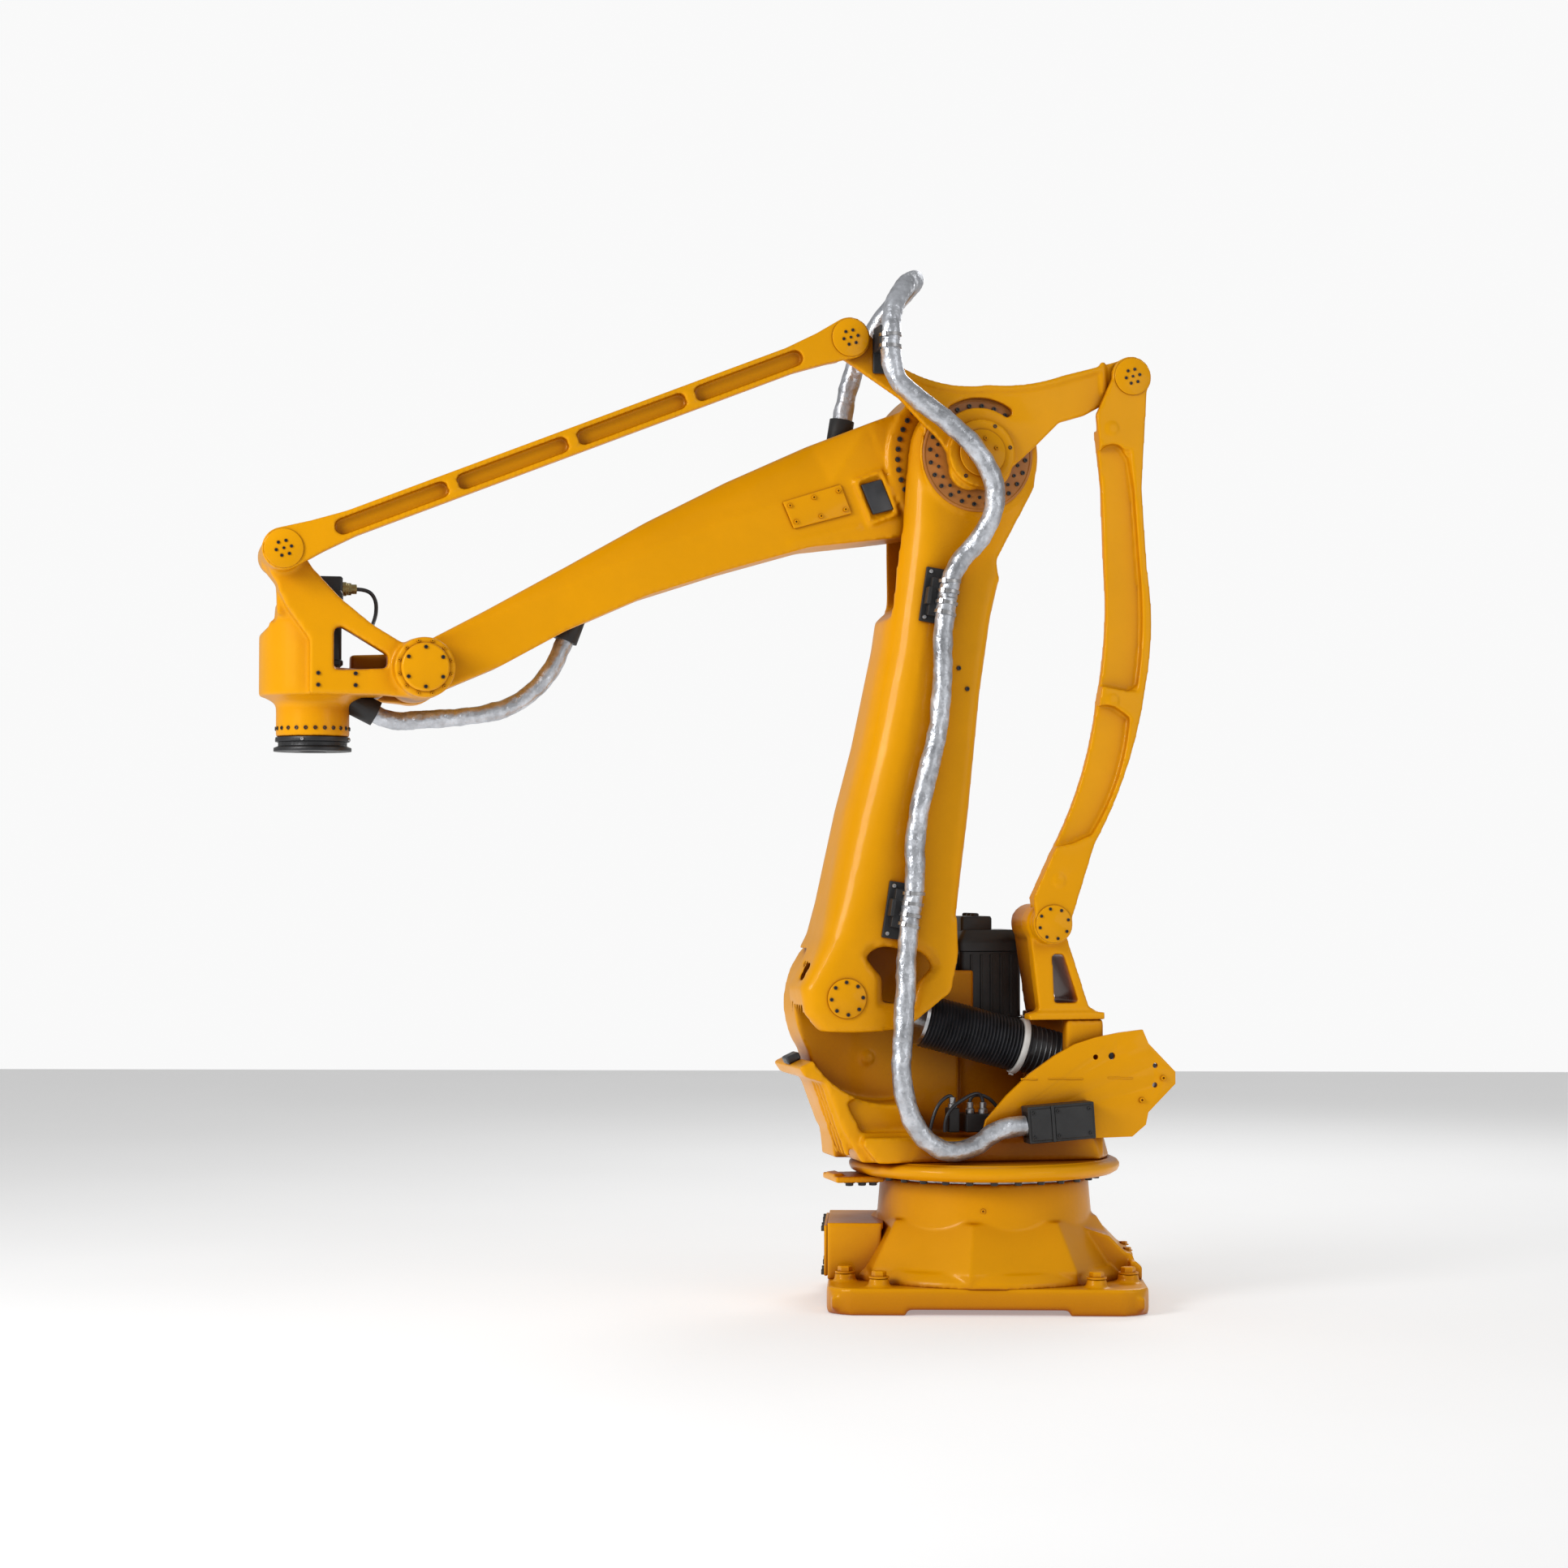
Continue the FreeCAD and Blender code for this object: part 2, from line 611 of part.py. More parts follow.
def build_swivel_motor():
    """Upright swivel motor with its square cap and connector block."""
    half, foot = size("motor_half"), size("motor_seat")
    x, y = swivel_motor_middle()
    body = make_box("swivel_motor_body", "2 * sizes.motor_half", "2 * sizes.motor_half",
                    "sizes.motor_top - sizes.motor_seat",
                    Placement(Vector(x - half, y - half, foot), Rotation()))
    block = make_box("swivel_motor_plug", 76, 110, 40,
                     Placement(Vector(x - 9, y - 55, size("motor_top")), Rotation()))
    motor = make_fuse("swivel_motor", [body, block])
    motor.Placement = arm_place()


def build_hose_socket():
    """Black connector housing on the near side plate, where the hose starts."""
    y = size("side_plate_inner") + size("side_plate_thick")
    make_box("hose_socket", 158, 58, 84, arm_place(-194, y, 388, pitch(4)))


# ---------------------------------------------------------------- lower arm

def lower_arm_profile():
    """Side outline of the lower arm in its own frame, up to its round top."""
    top = size("arm_length")
    return outline((-37, -44), (40, -66, 112, -78), (172, -84), (203, -50), (221, 8), (200, 68),
                   (182, 136), (178, 214), (167, 426), (151, 581), (138, 815), (139, top - 180),
                   (148, top), (0, top + 150, -148, top), (-148, top - 50), (-84, top - 231),
                   (-99, top - 277), (-92, top - 364), (-93, 740), (-107, 464), (-112, 277),
                   (-114, 221), (-130, 140), (-126, 50))


def build_lower_arm():
    """Lower arm casting: forked bottom round the housing, boxed beam, forked top."""
    top, half = size("arm_length"), size("arm_half")
    shape = slab(lower_arm_profile(), -half, half)
    shape = shape.fuse(disc(0, top, 137, -size("disc_face"), size("disc_face")))
    cheek, fork = size("cheek_half"), size("fork_half")
    shape = shape.cut(disc(0, 0, size("drum_radius") + 8, -cheek, cheek))
    mouth = outline((0, top), (-200, top), (-240, top + 240), (240, top + 240), (240, top - 424),
                    (160, top - 424), (32, top - 304), (-58, top - 200))
    shape = shape.cut(disc(0, top, size("hub_radius") + 6, -fork, fork))
    shape = shape.cut(slab(mouth, -fork, fork))
    window = outline((84, 98), (50, 128, 2, 126), (-50, 126, -74, 98), (-48, 60), (-40, 6),
                     (30, 4), (38, 58))
    shape = shape.cut(slab(window, 0, 200))
    shape = shape.cut(disc(22, 611, 36, 60, 200))
    shape = shape.cut(brick((100, -cheek, -120), (260, 3, 100)))
    shape = shape.cut(brick((190, 70, 28), (240, 110, 62)))
    pin = disc(size("balancer_pin_u"), 0, size("balancer_pin_radius") + size("running_gap"), 0, half)
    axle = disc(0, 0, size("shoulder_axle_radius") + size("running_gap"), -half, 0)
    channel = brick((-2, half - 9, 140), (58, half + 9, 1020))
    casting("lower_arm_casting", shape.cut([pin, axle, channel]), lower_arm_place())


def build_arm_drives():
    """Gearboxes and motors on the far side of the lower arm, at the shoulder and the elbow."""
    half = size("arm_half")
    for name, z, face, gear, length in (("tilt", 0, half, 128, 210),
                                        ("elbow", size("arm_length"), size("disc_face"), 108, 180)):
        at = lower_arm_place().multiply(Placement(Vector(0, -face, z), Rotation(Vector(1, 0, 0), 90)))
        turned_body(f"{name}_gearbox", [(0, 0), (gear, 0), (gear, 26), (gear - 26, 46), (0, 46)], at)
        body = make_box(f"{name}_motor_body", 130, 130, length,
                        Placement(Vector(-65, -65, 46), Rotation()))
        plug = make_box(f"{name}_motor_plug", 70, 46, 60,
                        Placement(Vector(-35, 65, length - 30), Rotation()))
        motor = make_fuse(f"{name}_motor", [body, plug])
        motor.Placement = at


def build_elbow_axle():
    """Axle between the top cheeks, on which the forearm turns."""
    at = lower_arm_place().multiply(Placement(Vector(0, -size("fork_half"), size("arm_length")), ACROSS))
    make_cylinder("elbow_axle", "sizes.elbow_axle_radius", "2 * sizes.fork_half", at)


def build_crank_axle():
    """Axle and cap of the bell crank on the near elbow disc."""
    crank = "sizes.crank_outer + 16 - sizes.disc_face"
    cap = f"{crank} + 5"
    radius = "sizes.crank_axle_radius"
    profile = [(0, 0), (radius, 0), (radius, crank), (f"{radius} + 14", crank),
               (f"{radius} + 14", cap), (0, cap)]
    at = lower_arm_place().multiply(Placement(Vector(0, size("disc_face"), size("arm_length")), ACROSS))
    turned_body("crank_axle", profile, at)


def build_balancer_pin():
    """Front balancer pin, held in the near bottom cheek, with its round cap."""
    inner = "sizes.balancer_side - sizes.balancer_eye_half - 10"
    radius, cap = "sizes.balancer_pin_radius", "sizes.balancer_eye_radius"
    profile = [(0, inner), (radius, inner), (radius, "sizes.arm_half"), (cap, "sizes.arm_half"),
               (cap, "sizes.arm_half + 6"), (0, "sizes.arm_half + 6")]
    at = lower_arm_place().multiply(Placement(Vector(size("balancer_pin_u"), 0, 0), ACROSS))
    turned_body("balancer_front_pin", profile, at)


def build_hose_clamps():
    """The two black clamps that hold the hose on the lower arm."""
    floor = size("arm_half") - 9
    line = size("arm_half") + size("hose_stand")
    for name, along, low, high in (("lower_hose_clamp", LOWER_CLAMP, 150, 280),
                                   ("upper_hose_clamp", UPPER_CLAMP, 880, 1006)):
        u, middle = along
        block = brick((0, floor, low), (56, floor + 12, high))
        foot = brick((u - 15, floor + 12, middle - 15),
                     (u + 15, line - size("hose_radius") - 2, middle + 15))
        ring = Part.makeCylinder(32, 30, Vector(u, line, middle - 15))
        shape = block.fuse(foot.fuse(ring))
        bore = Part.makeCylinder(size("hose_radius") + CLAMP_GAP, 40, Vector(u, line, middle - 20))
        casting(name, shape.cut(bore), lower_arm_place())


CLAMP_GAP = 1.0             # hose clamps stand this far off the hose
LOWER_CLAMP = (8, 220)      # hose clamps in the lower arm's frame
UPPER_CLAMP = (31, 938)


# ---------------------------------------------------------------- balancer

def build_balancer():
    """Spring balancer: rod with eye and collar, cylinder with eye, white clamp and bellows."""
    length = balancer_line.Length
    half = size("balancer_eye_half")
    eye_radius = size("balancer_eye_radius")
    bore = size("balancer_pin_radius") + size("running_gap")
    along = Rotation(Vector(0, 1, 0), 90)
    tip = length - size("rod_length")
    rod = Part.makeCylinder(size("rod_radius"), size("rod_length"), Vector(tip, 0, 0), Vector(1, 0, 0))
    eye = disc(length, 0, eye_radius, -half, half)
    collar_x = length - size("collar_reach") - size("collar_thick")
    collar = Part.makeCylinder(size("bellows_radius") - 4, size("collar_thick"), Vector(collar_x, 0, 0),
                               Vector(1, 0, 0))
    shape = rod.fuse([eye, collar]).cut(disc(length, 0, bore, -half, half))
    casting("balancer_rod", shape, balancer_place())

    front = size("cylinder_front")
    barrel = Part.makeCylinder(size("cylinder_radius"), front - 34, Vector(34, 0, 0), Vector(1, 0, 0))
    gland = Part.makeCylinder(size("gland_radius"), front, Vector(tip - 130, 0, 0), Vector(1, 0, 0))
    shape = barrel.cut(gland).fuse(disc(0, 0, eye_radius, -half, half))
    casting("balancer_cylinder", shape.cut(disc(0, 0, bore, -half, half)), balancer_place())

    turned = balancer_place().multiply(Placement(Vector(front - 14, 0, 0), along))
    inner, outer = "sizes.cylinder_radius + sizes.running_gap", "sizes.bellows_radius + 3"
    turned_body("bellows_clamp", [(inner, 0), (outer, 0), (outer, 14), (inner, 14)], turned)

    gap = size("seat_gap")
    turned = balancer_place().multiply(Placement(Vector(front + gap, 0, 0), along))
    inner, outer = "sizes.bellows_radius - sizes.bellows_wall", "sizes.bellows_radius"
    end = collar_x - front - 2 * gap
    turned_body("balancer_bellows", [(inner, 0), (outer, 0), (outer, end), (inner, end)], turned)


# ---------------------------------------------------------------- links and bell crank

def link_pin(name, at):
    """Pivot pin seated on its boss, with the round cap that holds the link eye."""
    top = "sizes.link_outer - sizes.crank_outer + sizes.cap_gap"
    cap = f"{top} + sizes.cap_thick"
    profile = [(0, 0), ("sizes.pin_radius", 0), ("sizes.pin_radius", top), ("sizes.cap_radius", top),
               ("sizes.cap_radius", cap), (0, cap)]
    turned_body(name, profile, arm_place(at.x, size("crank_outer"), at.z, ACROSS))


def build_link_pins():
    """Pins of the four link pivots."""
    link_pin("rear_link_foot_pin", tower_pivot)
    link_pin("rear_link_top_pin", crank_rear)
    link_pin("front_link_rear_pin", crank_front)
    link_pin("front_link_front_pin", wrist_top)


def link_eyes(length, along):
    """The two eyes of a link and its pin bores, at both ends of its length."""
    ends = [Vector(0, 0, 0), along * length]
    inner, outer = size("eye_inner"), size("link_outer")
    eyes = [disc(e.x, e.z, size("eye_radius"), inner, outer) for e in ends]
    bores = [disc(e.x, e.z, size("pin_radius") + size("running_gap"), inner - 30, outer + 1) for e in ends]
    return eyes, bores


def build_rear_link():
    """Rear link, bowed backwards, from the tower to the rear end of the bell crank."""
    top = size("arm_length")
    inner, outer, thin = size("crank_inner"), size("link_outer"), size("eye_inner")
    wire = outline((44, 14), (55, 53), (23, 161), (-22, 330, -35, 529), (-30, 700, -8, top - 452),
                   (27, top - 267), (71, top - 103), (45, top - 10), (-40, top - 20), (-62, top - 252),
                   (-102, top - 436), (-139, 640, -139, 585), (-130, 430, -71, 195), (-46, 40),
                   (-42, 14))
    eyes, bores = link_eyes(top, Vector(0, 0, 1))
    shape = slab(wire, inner, outer).fuse(eyes)
    shape = shape.cut([brick((-160, 0, top - 135), (120, thin, top + 80)),
                       disc(0, 0, size("eye_radius") + 8, 0, thin)])
    pockets = [((30, 170), (-12, 330, -17, 500), (-112, 500), (-106, 360, -62, 215)),
               ((-20, 560), (-16, 700, 8, top - 460), (42, top - 270), (50, top - 170),
                (-22, top - 170), (-45, top - 262), (-86, top - 440), (-118, 640, -120, 560))]
    for start, *steps in pockets:
        shape = shape.cut(slab(outline(start, *steps), outer - 8, outer + 1))
    casting("rear_link", shape.cut(bores), lower_arm_place().multiply(Placement(rear_offset_local(), Rotation())))


def rear_offset_local():
    """The tower pivot as seen in the lower arm's frame."""
    turn = pitch(size("arm_lean"))
    return turn.multVec(rear_offset)


def build_front_link():
    """Front link, a long straight bar with pockets, from the bell crank to the wrist."""
    length = size("forearm_length")
    inner, outer, thin = size("crank_inner"), size("link_outer"), size("eye_inner")
    half = 29
    wire = outline((10, 46), (70, 36), (150, half), (length - 160, half), (length - 80, 36),
                   (length - 10, 46), (length - 10, -46), (length - 80, -36), (length - 160, -half),
                   (150, -half), (70, -36), (10, -46))
    eyes, bores = link_eyes(length, Vector(1, 0, 0))
    shape = slab(wire, inner, outer).fuse(eyes)
    shape = shape.cut([disc(x, 0, size("eye_radius") + 10, 0, thin) for x in (0, length)])
    pitch_along = (length - 220) / 4
    for number in range(4):
        x = 110 + pitch_along * number
        pocket_wire = outline((x + 28, -17), (x + pitch_along - 28, -17),
                              (x + pitch_along - 11, 0, x + pitch_along - 28, 17), (x + 28, 17),
                              (x + 11, 0, x + 28, -17))
        shape = shape.cut(slab(pocket_wire, outer - 8, outer + 1))
    at = arm_place(crank_front.x, 0, crank_front.z, pitch(size("forearm_dip")))
    casting("front_link", shape.cut(bores), at)


def build_bell_crank():
    """Bell crank on the elbow axis that joins the two links, with a kidney slot over its hub."""
    inner, outer = size("crank_inner"), size("crank_outer")
    front, rear = front_offset, rear_offset
    wire = outline((front.x - 22, front.z + 40), (180, 187), (110, 162, -20, 158), (-130, 166, -200, 186),
                   (rear.x + 16, rear.z + 42), (rear.x + 20, rear.z - 42), (-250, 96), (-190, 78),
                   (-132, 20), (-76, -30), (-50, -72, 5, -80), (62, -66, 70, -20), (90, 20, 130, 60),
                   (190, 122), (front.x + 16, front.z - 42))
    shape = slab(wire, inner, outer)
    shape = shape.fuse([disc(p.x, p.z, size("eye_radius"), inner, outer) for p in (front, rear)])
    shape = shape.fuse(disc(0, 0, 78, inner, outer + 15.5))
    slot = kidney(118, 11, 33)
    shape = shape.cut(slot.fuse(disc(0, 0, size("crank_axle_radius") + size("running_gap"), 0, 300)))
    casting("bell_crank", shape, arm_place(elbow.x, 0, elbow.z))


def kidney(radius, half, spread):
    """An arc-shaped slot about the Y axis, symmetric about the vertical."""
    def at(r, degrees):
        angle = math.radians(degrees)
        return (r * math.sin(angle), r * math.cos(angle))
    inner, outer = radius - half, radius + half
    wire = outline(at(inner, -spread), at(inner, 0) + at(inner, spread),
                   at(radius, spread + 6) + at(outer, spread), at(outer, 0) + at(outer, -spread),
                   at(radius, -spread - 6) + at(inner, -spread))
    return slab(wire, 100, 300)


def build_crank_hose_clamp():
    """Black bracket and ring that hold the hose beside the front arm of the bell crank."""
    outer = size("crank_outer")
    hose = Vector(CRANK_HOSE[0], outer + size("crank_hose_stand"), CRANK_HOSE[1])
    plate = brick((202, outer, 150), (256, outer + 8, 266))
    foot = brick((hose.x - 15, outer + 8, hose.z - 15),
                 (hose.x + 15, hose.y - size("hose_radius") - 2, hose.z + 15))
    ring = Part.makeCylinder(32, 30, hose - Vector(0, 0, 15))
    bore = Part.makeCylinder(size("hose_radius") + CLAMP_GAP, 40, hose - Vector(0, 0, 20))
    casting("crank_hose_clamp", plate.fuse(foot.fuse(ring)).cut(bore), arm_place(elbow.x, 0, elbow.z))


CRANK_HOSE = (229, 244)     # hose centre in the crank clamp, from the elbow axis


# ---------------------------------------------------------------- forearm

def forearm_solid():
    """Forearm casting in its own frame: round hub, arched beam and round tip."""
    end = size("forearm_length")
    beam = outline((60, 160), (339, 163), (549, 152), (760, 131), (972, 101), (end - 189, 73),
                   (end - 40, 56), (end - 40, -60), (end - 177, -56), (1027, -35),
                   (823, -27), (625, -39), (427, -58), (268, -99), (60, -150))
    half, hub = size("forearm_half"), size("hub_half")
    flange = disc(0, 0, size("hub_radius"), -hub, hub).common(brick((20, -hub, -300), (300, hub, 300)))
    shape = slab(beam, -half, half).fuse([flange, disc(0, 0, size("hub_back_radius"), -hub, hub),
                                          disc(end, 0, size("tip_radius"), -hub, hub)])
    gap = size("running_gap")
    return shape.cut([disc(0, 0, size("elbow_axle_radius") + gap, -hub, hub),
                      disc(end, 0, size("wrist_axle_radius") + gap, -hub, hub)])


def build_forearm():
    """Forearm with its cover plate, stop block and the two hose glands."""
    body = forearm_solid()
    casting("forearm_casting", body, forearm_place())
    half, hub = size("forearm_half"), size("hub_half")
    cover = slab(outline((308, -20), (450, -5), (452, 62), (308, 52)), half, hub - 2)
    casting("forearm_cover", cover, forearm_place())
    block = slab(outline((212, -46), (262, -40), (264, 34), (214, 30)), half, hub)
    block = block.cut(disc(0, 0, size("hub_radius") + size("seat_gap"), 0, 200))
    casting("elbow_stop", block, forearm_place())
    hose_gland("upper_hose_gland", TOP_HOSE[-1], TOP_HOSE[-2], body, forearm_place())
    hose_gland("lower_hose_gland", WRIST_HOSE[0], WRIST_HOSE[1], body, forearm_place())


def hose_gland(name, end, inward, carrier, place):
    """Black sleeve round the end of a hose, cut to sit on the casting that carries it."""
    way = end - inward
    way.normalize()
    sleeve = Part.makeCylinder(size("hose_radius") + 6, 80, end + way * size("seat_gap"), way)
    sleeve.Placement = place.inverse().multiply(arm_place()).multiply(sleeve.Placement)
    sleeve = sleeve.cut(carrier)
    nearest = min(sleeve.Solids, key=lambda s: s.CenterOfMass.distanceToPoint(
        place.inverse().multiply(arm_place()).multVec(end)))
    casting(name, nearest, place)


# ---------------------------------------------------------------- wrist and tool flange

def wrist_barrel():
    """Round gearbox housing, open at the back above its floor for the motor."""
    x, radius = size("tool_forward"), size("barrel_radius")
    low = -size("barrel_low")
    shape = Part.makeCylinder(radius, 112 - low, Vector(x, 0, low))
    shape = shape.fuse(Part.makeCone(radius, 86, 40, Vector(x, 0, 112)))
    shape = shape.cut(brick((x - 140, -130, 2), (x - 36, 130, 160)))
    shape = shape.cut(brick((x - 140, -69, 10), (x + 69, 69, 160)))
    neck = Part.makeCylinder(size("neck_wrist_radius"), size("neck_low") + low, Vector(x, 0, -size("neck_low")))
    return shape.fuse(neck)


def wrist_cheeks():
    """Near cheek with its strut to the front link, far cheek and the web between them."""
    fork = size("fork_half")
    top = front_offset
    near = outline((0, -68), (90, -60), (250, -60), (250, 60), (300, 130), (top.x + 40, top.z - 14),
                   (top.x - 38, top.z + 16), (246, 220), (183, 153), (111, 95), (44, 55),
                   (-48, 48, -68, 0), (-48, -48, 0, -68))
    window = outline((79, -1), (197, -6), (197, 85), (183, 91), (79, 29))
    far = outline((0, -68), (90, -60), (200, -60), (200, 5), (140, 5), (140, 45), (60, 48), (40, 57),
                  (-48, 48, -68, 0), (-48, -48, 0, -68))
    strut = outline((270, 112), (346, 120), (top.x + 42, top.z - 10), (top.x - 36, top.z - 20))
    shape = slab(near, fork, fork + 47).cut(slab(window, 0, 300))
    shape = shape.fuse(slab(far, -fork - 47, -fork)).fuse(slab(strut, 72, fork + 1))
    shape = shape.fuse(disc(0, 0, 68, fork, size("disc_face") + 16))
    shape = shape.fuse(disc(0, 0, 68, -size("disc_face"), -fork))
    shape = shape.fuse(brick((77, -fork - 1, -60), (150, fork + 1, -24)))
    return shape.fuse(disc(top.x, top.z, size("eye_radius") - 2, 0, size("crank_outer")))


def build_wrist():
    """Wrist casting, its axle and near cap."""
    body, at = wrist_barrel().fuse(wrist_cheeks()), arm_place(wrist.x, 0, wrist.z)
    casting("wrist_housing", body, at)
    hose_gland("wrist_hose_gland", WRIST_HOSE[-1], WRIST_HOSE[-2], body, at)
    make_cylinder("wrist_axle", "sizes.wrist_axle_radius", "2 * sizes.fork_half",
                  arm_place(wrist.x, -size("fork_half"), wrist.z, ACROSS))
    top = "sizes.wrist_axle_radius + 16"
    turned_body("wrist_axle_cap", [(0, 0), (top, 0), (top, 7), (f"{top} - 4", 11), (0, 11)],
                arm_place(wrist.x, size("disc_face") + 16, wrist.z, ACROSS))


def build_wrist_motor():
    """Black wrist motor behind the strut, with its plug and a short cable."""
    x = size("tool_forward")
    body = make_box("wrist_motor_body", 126, 126, 168, Placement(Vector(x - 63, -63, 10), Rotation()))
    head = make_box("wrist_motor_head", 66, 90, 34, Placement(Vector(x - 63, -45, 177), Rotation()))
    motor = make_fuse("wrist_motor", [body, head])
    motor.Placement = arm_place(wrist.x, 0, wrist.z)
    at = arm_place(wrist.x + x - 63, 0, wrist.z + 186, Rotation(Vector(0, 1, 0), -90))
    turned_body("wrist_motor_plug", [(0, 0), (16, 0), (16, 14), (11, 18), (11, 34), (0, 34)], at)
    tube("wrist_motor_cable", MOTOR_CABLE, 4.5, arm_place(wrist.x, 0, wrist.z))


def build_tool_flange():
    """Black tool flange with a ring of bolt holes and a pilot bore, facing down."""
    body = doc.addObject("PartDesign::Body", "tool_flange")
    sketch = attach(body, "tool_flange_profile", "XZ_Plane")
    radius = "sizes.flange_radius"
    height = "sizes.flange_low - sizes.neck_low - sizes.flange_gap"
    draw_polygon(sketch, [("sizes.pilot_radius", 0), (radius + " + 5", 0), (radius + " + 5", 8),
                          (radius + " - 5", 12), (radius + " - 5", 20), (radius + " + 1", 22),
                          (radius + " + 1", height), (0, height), (0, "sizes.pilot_depth"),
                          ("sizes.pilot_radius", "sizes.pilot_depth")])
    spin = body.newObject("PartDesign::Revolution", "tool_flange_turn")
    spin.Profile = sketch
    spin.ReferenceAxis = (sketch, ["V_Axis"])
    spin.Angle = 360.0
    ring = attach(body, "tool_flange_hole", "XY_Plane")
    draw_circle(ring, "sizes.flange_pitch_radius", 0, "sizes.flange_hole_radius")
    hole = pocket(body, "tool_flange_bolt", ring, 18, reverse=True)
    pattern = body.newObject("PartDesign::PolarPattern", "tool_flange_bolts")
    pattern.Originals = [hole]
    pattern.Axis = (ring, ["N_Axis"])
    pattern.Angle = 360.0
    pattern.setExpression("Occurrences", "sizes.flange_holes")
    body.Tip = pattern
    body.Placement = arm_place(tool_x, 0, wrist.z - size("flange_low"))


# ---------------------------------------------------------------- hoses

FOOT_HOSE = [Vector(-33.1, 231, 418.8), Vector(34, 231, 414.1), Vector(92, 234, 366),
             Vector(170, 236, 360), Vector(234, 236, 418), Vector(262, 234, 516),
             Vector(256, 228, 630), Vector(245, 216, 742), Vector(240.2, 208, 839.5),
             Vector(229.7, 208, 908.3)]
ARM_HOSE = [Vector(8, 208, 220.2), Vector(8, 208, 292), Vector(25, 208, 372), Vector(23, 208, 490),
            Vector(6, 208, 622), Vector(13, 208, 756), Vector(31, 208, 856), Vector(31, 208, 937.8)]
ELBOW_HOSE = [Vector(143.8, 208, 1622.2), Vector(133.2, 208, 1691.1), Vector(58, 238, 1770),
              Vector(34, 254, 1866), Vector(84, 262, 1960), Vector(168, 262, 2028),
              Vector(252, 262, 2084), Vector(290.2, 256, 2134), Vector(290.2, 256, 2200.1)]
TOP_HOSE = [Vector(290.2, 256, 2200.5), Vector(290.2, 256, 2262), Vector(252, 214, 2328),
            Vector(204, 158, 2364), Vector(200, 102, 2356), Vector(238, 58, 2310),
            Vector(290, 22, 2232), Vector(328, 2, 2136), Vector(341, 0, 2052)]
WRIST_HOSE = [Vector(995, 0, 1524), Vector(1015, 0, 1470), Vector(1060, 0, 1412), Vector(1130, 0, 1364),
              Vector(1226, 0, 1347), Vector(1322, 0, 1340), Vector(1388, 0, 1334),
              Vector(1424, 0, 1352)]
MOTOR_CABLE = [Vector(136, 0, 186), Vector(112, 0, 186), Vector(93, 2, 166), Vector(92, 12, 132),
               Vector(104, 40, 100), Vector(112, 74, 84), Vector(118, 102.8, 84)]


def rounded_path(points):
    """Straight runs joined by tangent arcs, each as large as its shorter run allows."""
    edges = []
    radii = []
    here = points[0]
    for before, corner, after in zip(points, points[1:], points[2:]):
        back, ahead = before - corner, after - corner
        shorter = min(back.Length, ahead.Length)
        half_turn = (math.pi - back.getAngle(ahead)) / 2
        radius = 0.45 * shorter / math.tan(half_turn)
        trim = 0.45 * shorter
        back.normalize()
        ahead.normalize()
        start, end = corner + back * trim, corner + ahead * trim
        bisector = back + ahead
        bisector.normalize()
        middle = corner + bisector * (radius / math.cos(half_turn) - radius)
        edges.append(Part.LineSegment(here, start).toShape())
        edges.append(Part.Arc(start, middle, end).toShape())
        radii.append(radius)
        here = end
    edges.append(Part.LineSegment(here, points[-1]).toShape())
    return Part.Wire(edges), radii


def tube(name, points, radius, place):
    """A round tube along a rounded path."""
    path, radii = rounded_path(points)
    circle = Part.Circle(points[0], points[1] - points[0], radius).toShape()
    shape = path.makePipeShell([Part.Wire([circle])], True, True)
    wanted = math.pi * radius ** 2 * path.Length
    if abs(shape.Volume - wanted) > 0.01 * wanted:
        raise RuntimeError(f"{name}: volume {shape.Volume:.0f}, wanted {wanted:.0f}")
    print(f"{name}: length {path.Length:.0f}, radii {[round(r) for r in radii]}")
    casting(name, shape, place)


def build_hoses():
    """The hose sleeve in the stretches between its clamps and glands."""
    radius = size("hose_radius")
    tube("hose_foot_loop", FOOT_HOSE, radius, arm_place())
    tube("hose_arm_run", ARM_HOSE, radius, lower_arm_place())
    tube("hose_elbow_loop", ELBOW_HOSE, radius, arm_place())
    tube("hose_top_loop", TOP_HOSE, radius, arm_place())
    tube("hose_wrist_loop", WRIST_HOSE, radius - 2, arm_place())


# ---------------------------------------------------------------- assembly

BUILDERS = [
    build_base_plate, build_pedestal, build_slewing_bearing, build_cable_box, build_cable_cover,
    build_turntable_ring, build_swivel_stop, build_column, build_shoulder_axle, build_stop_bumper,
    build_side_plates, build_rear_pin, build_link_tower, build_swivel_motor, build_hose_socket,
    build_lower_arm, build_arm_drives, build_elbow_axle, build_crank_axle, build_balancer_pin,
    build_hose_clamps, build_balancer, build_link_pins, build_rear_link, build_front_link,
    build_bell_crank, build_crank_hose_clamp, build_forearm, build_wrist, build_wrist_motor,
    build_tool_flange, build_hoses,
]


def used_inside(piece):
    """True for an object that is only an ingredient of another."""
    return any(user.isDerivedFrom("Part::Feature") and user is not piece for user in piece.InList)


def sub_parts():
    """The finished sub-parts: bodies, primitives, booleans and castings that nothing else uses."""
    kinds = ("PartDesign::Body", "Part::Box", "Part::Cylinder", "Part::Cut", "Part::MultiFuse",
             "Part::Feature")
    return [o for o in doc.Objects if o.TypeId in kinds and not used_inside(o)]


def check_document():
    """Stop if any object failed to build."""
    failed = [o.Name for o in doc.Objects if {"Invalid", "Error"} & set(o.State)]
    if failed:
        raise RuntimeError(f"failed objects: {failed}")
    for piece in sub_parts():
        if piece.Shape.isNull() or not piece.Shape.isValid() or not piece.Shape.Solids:
            raise RuntimeError(f"{piece.Name} has no valid solid")


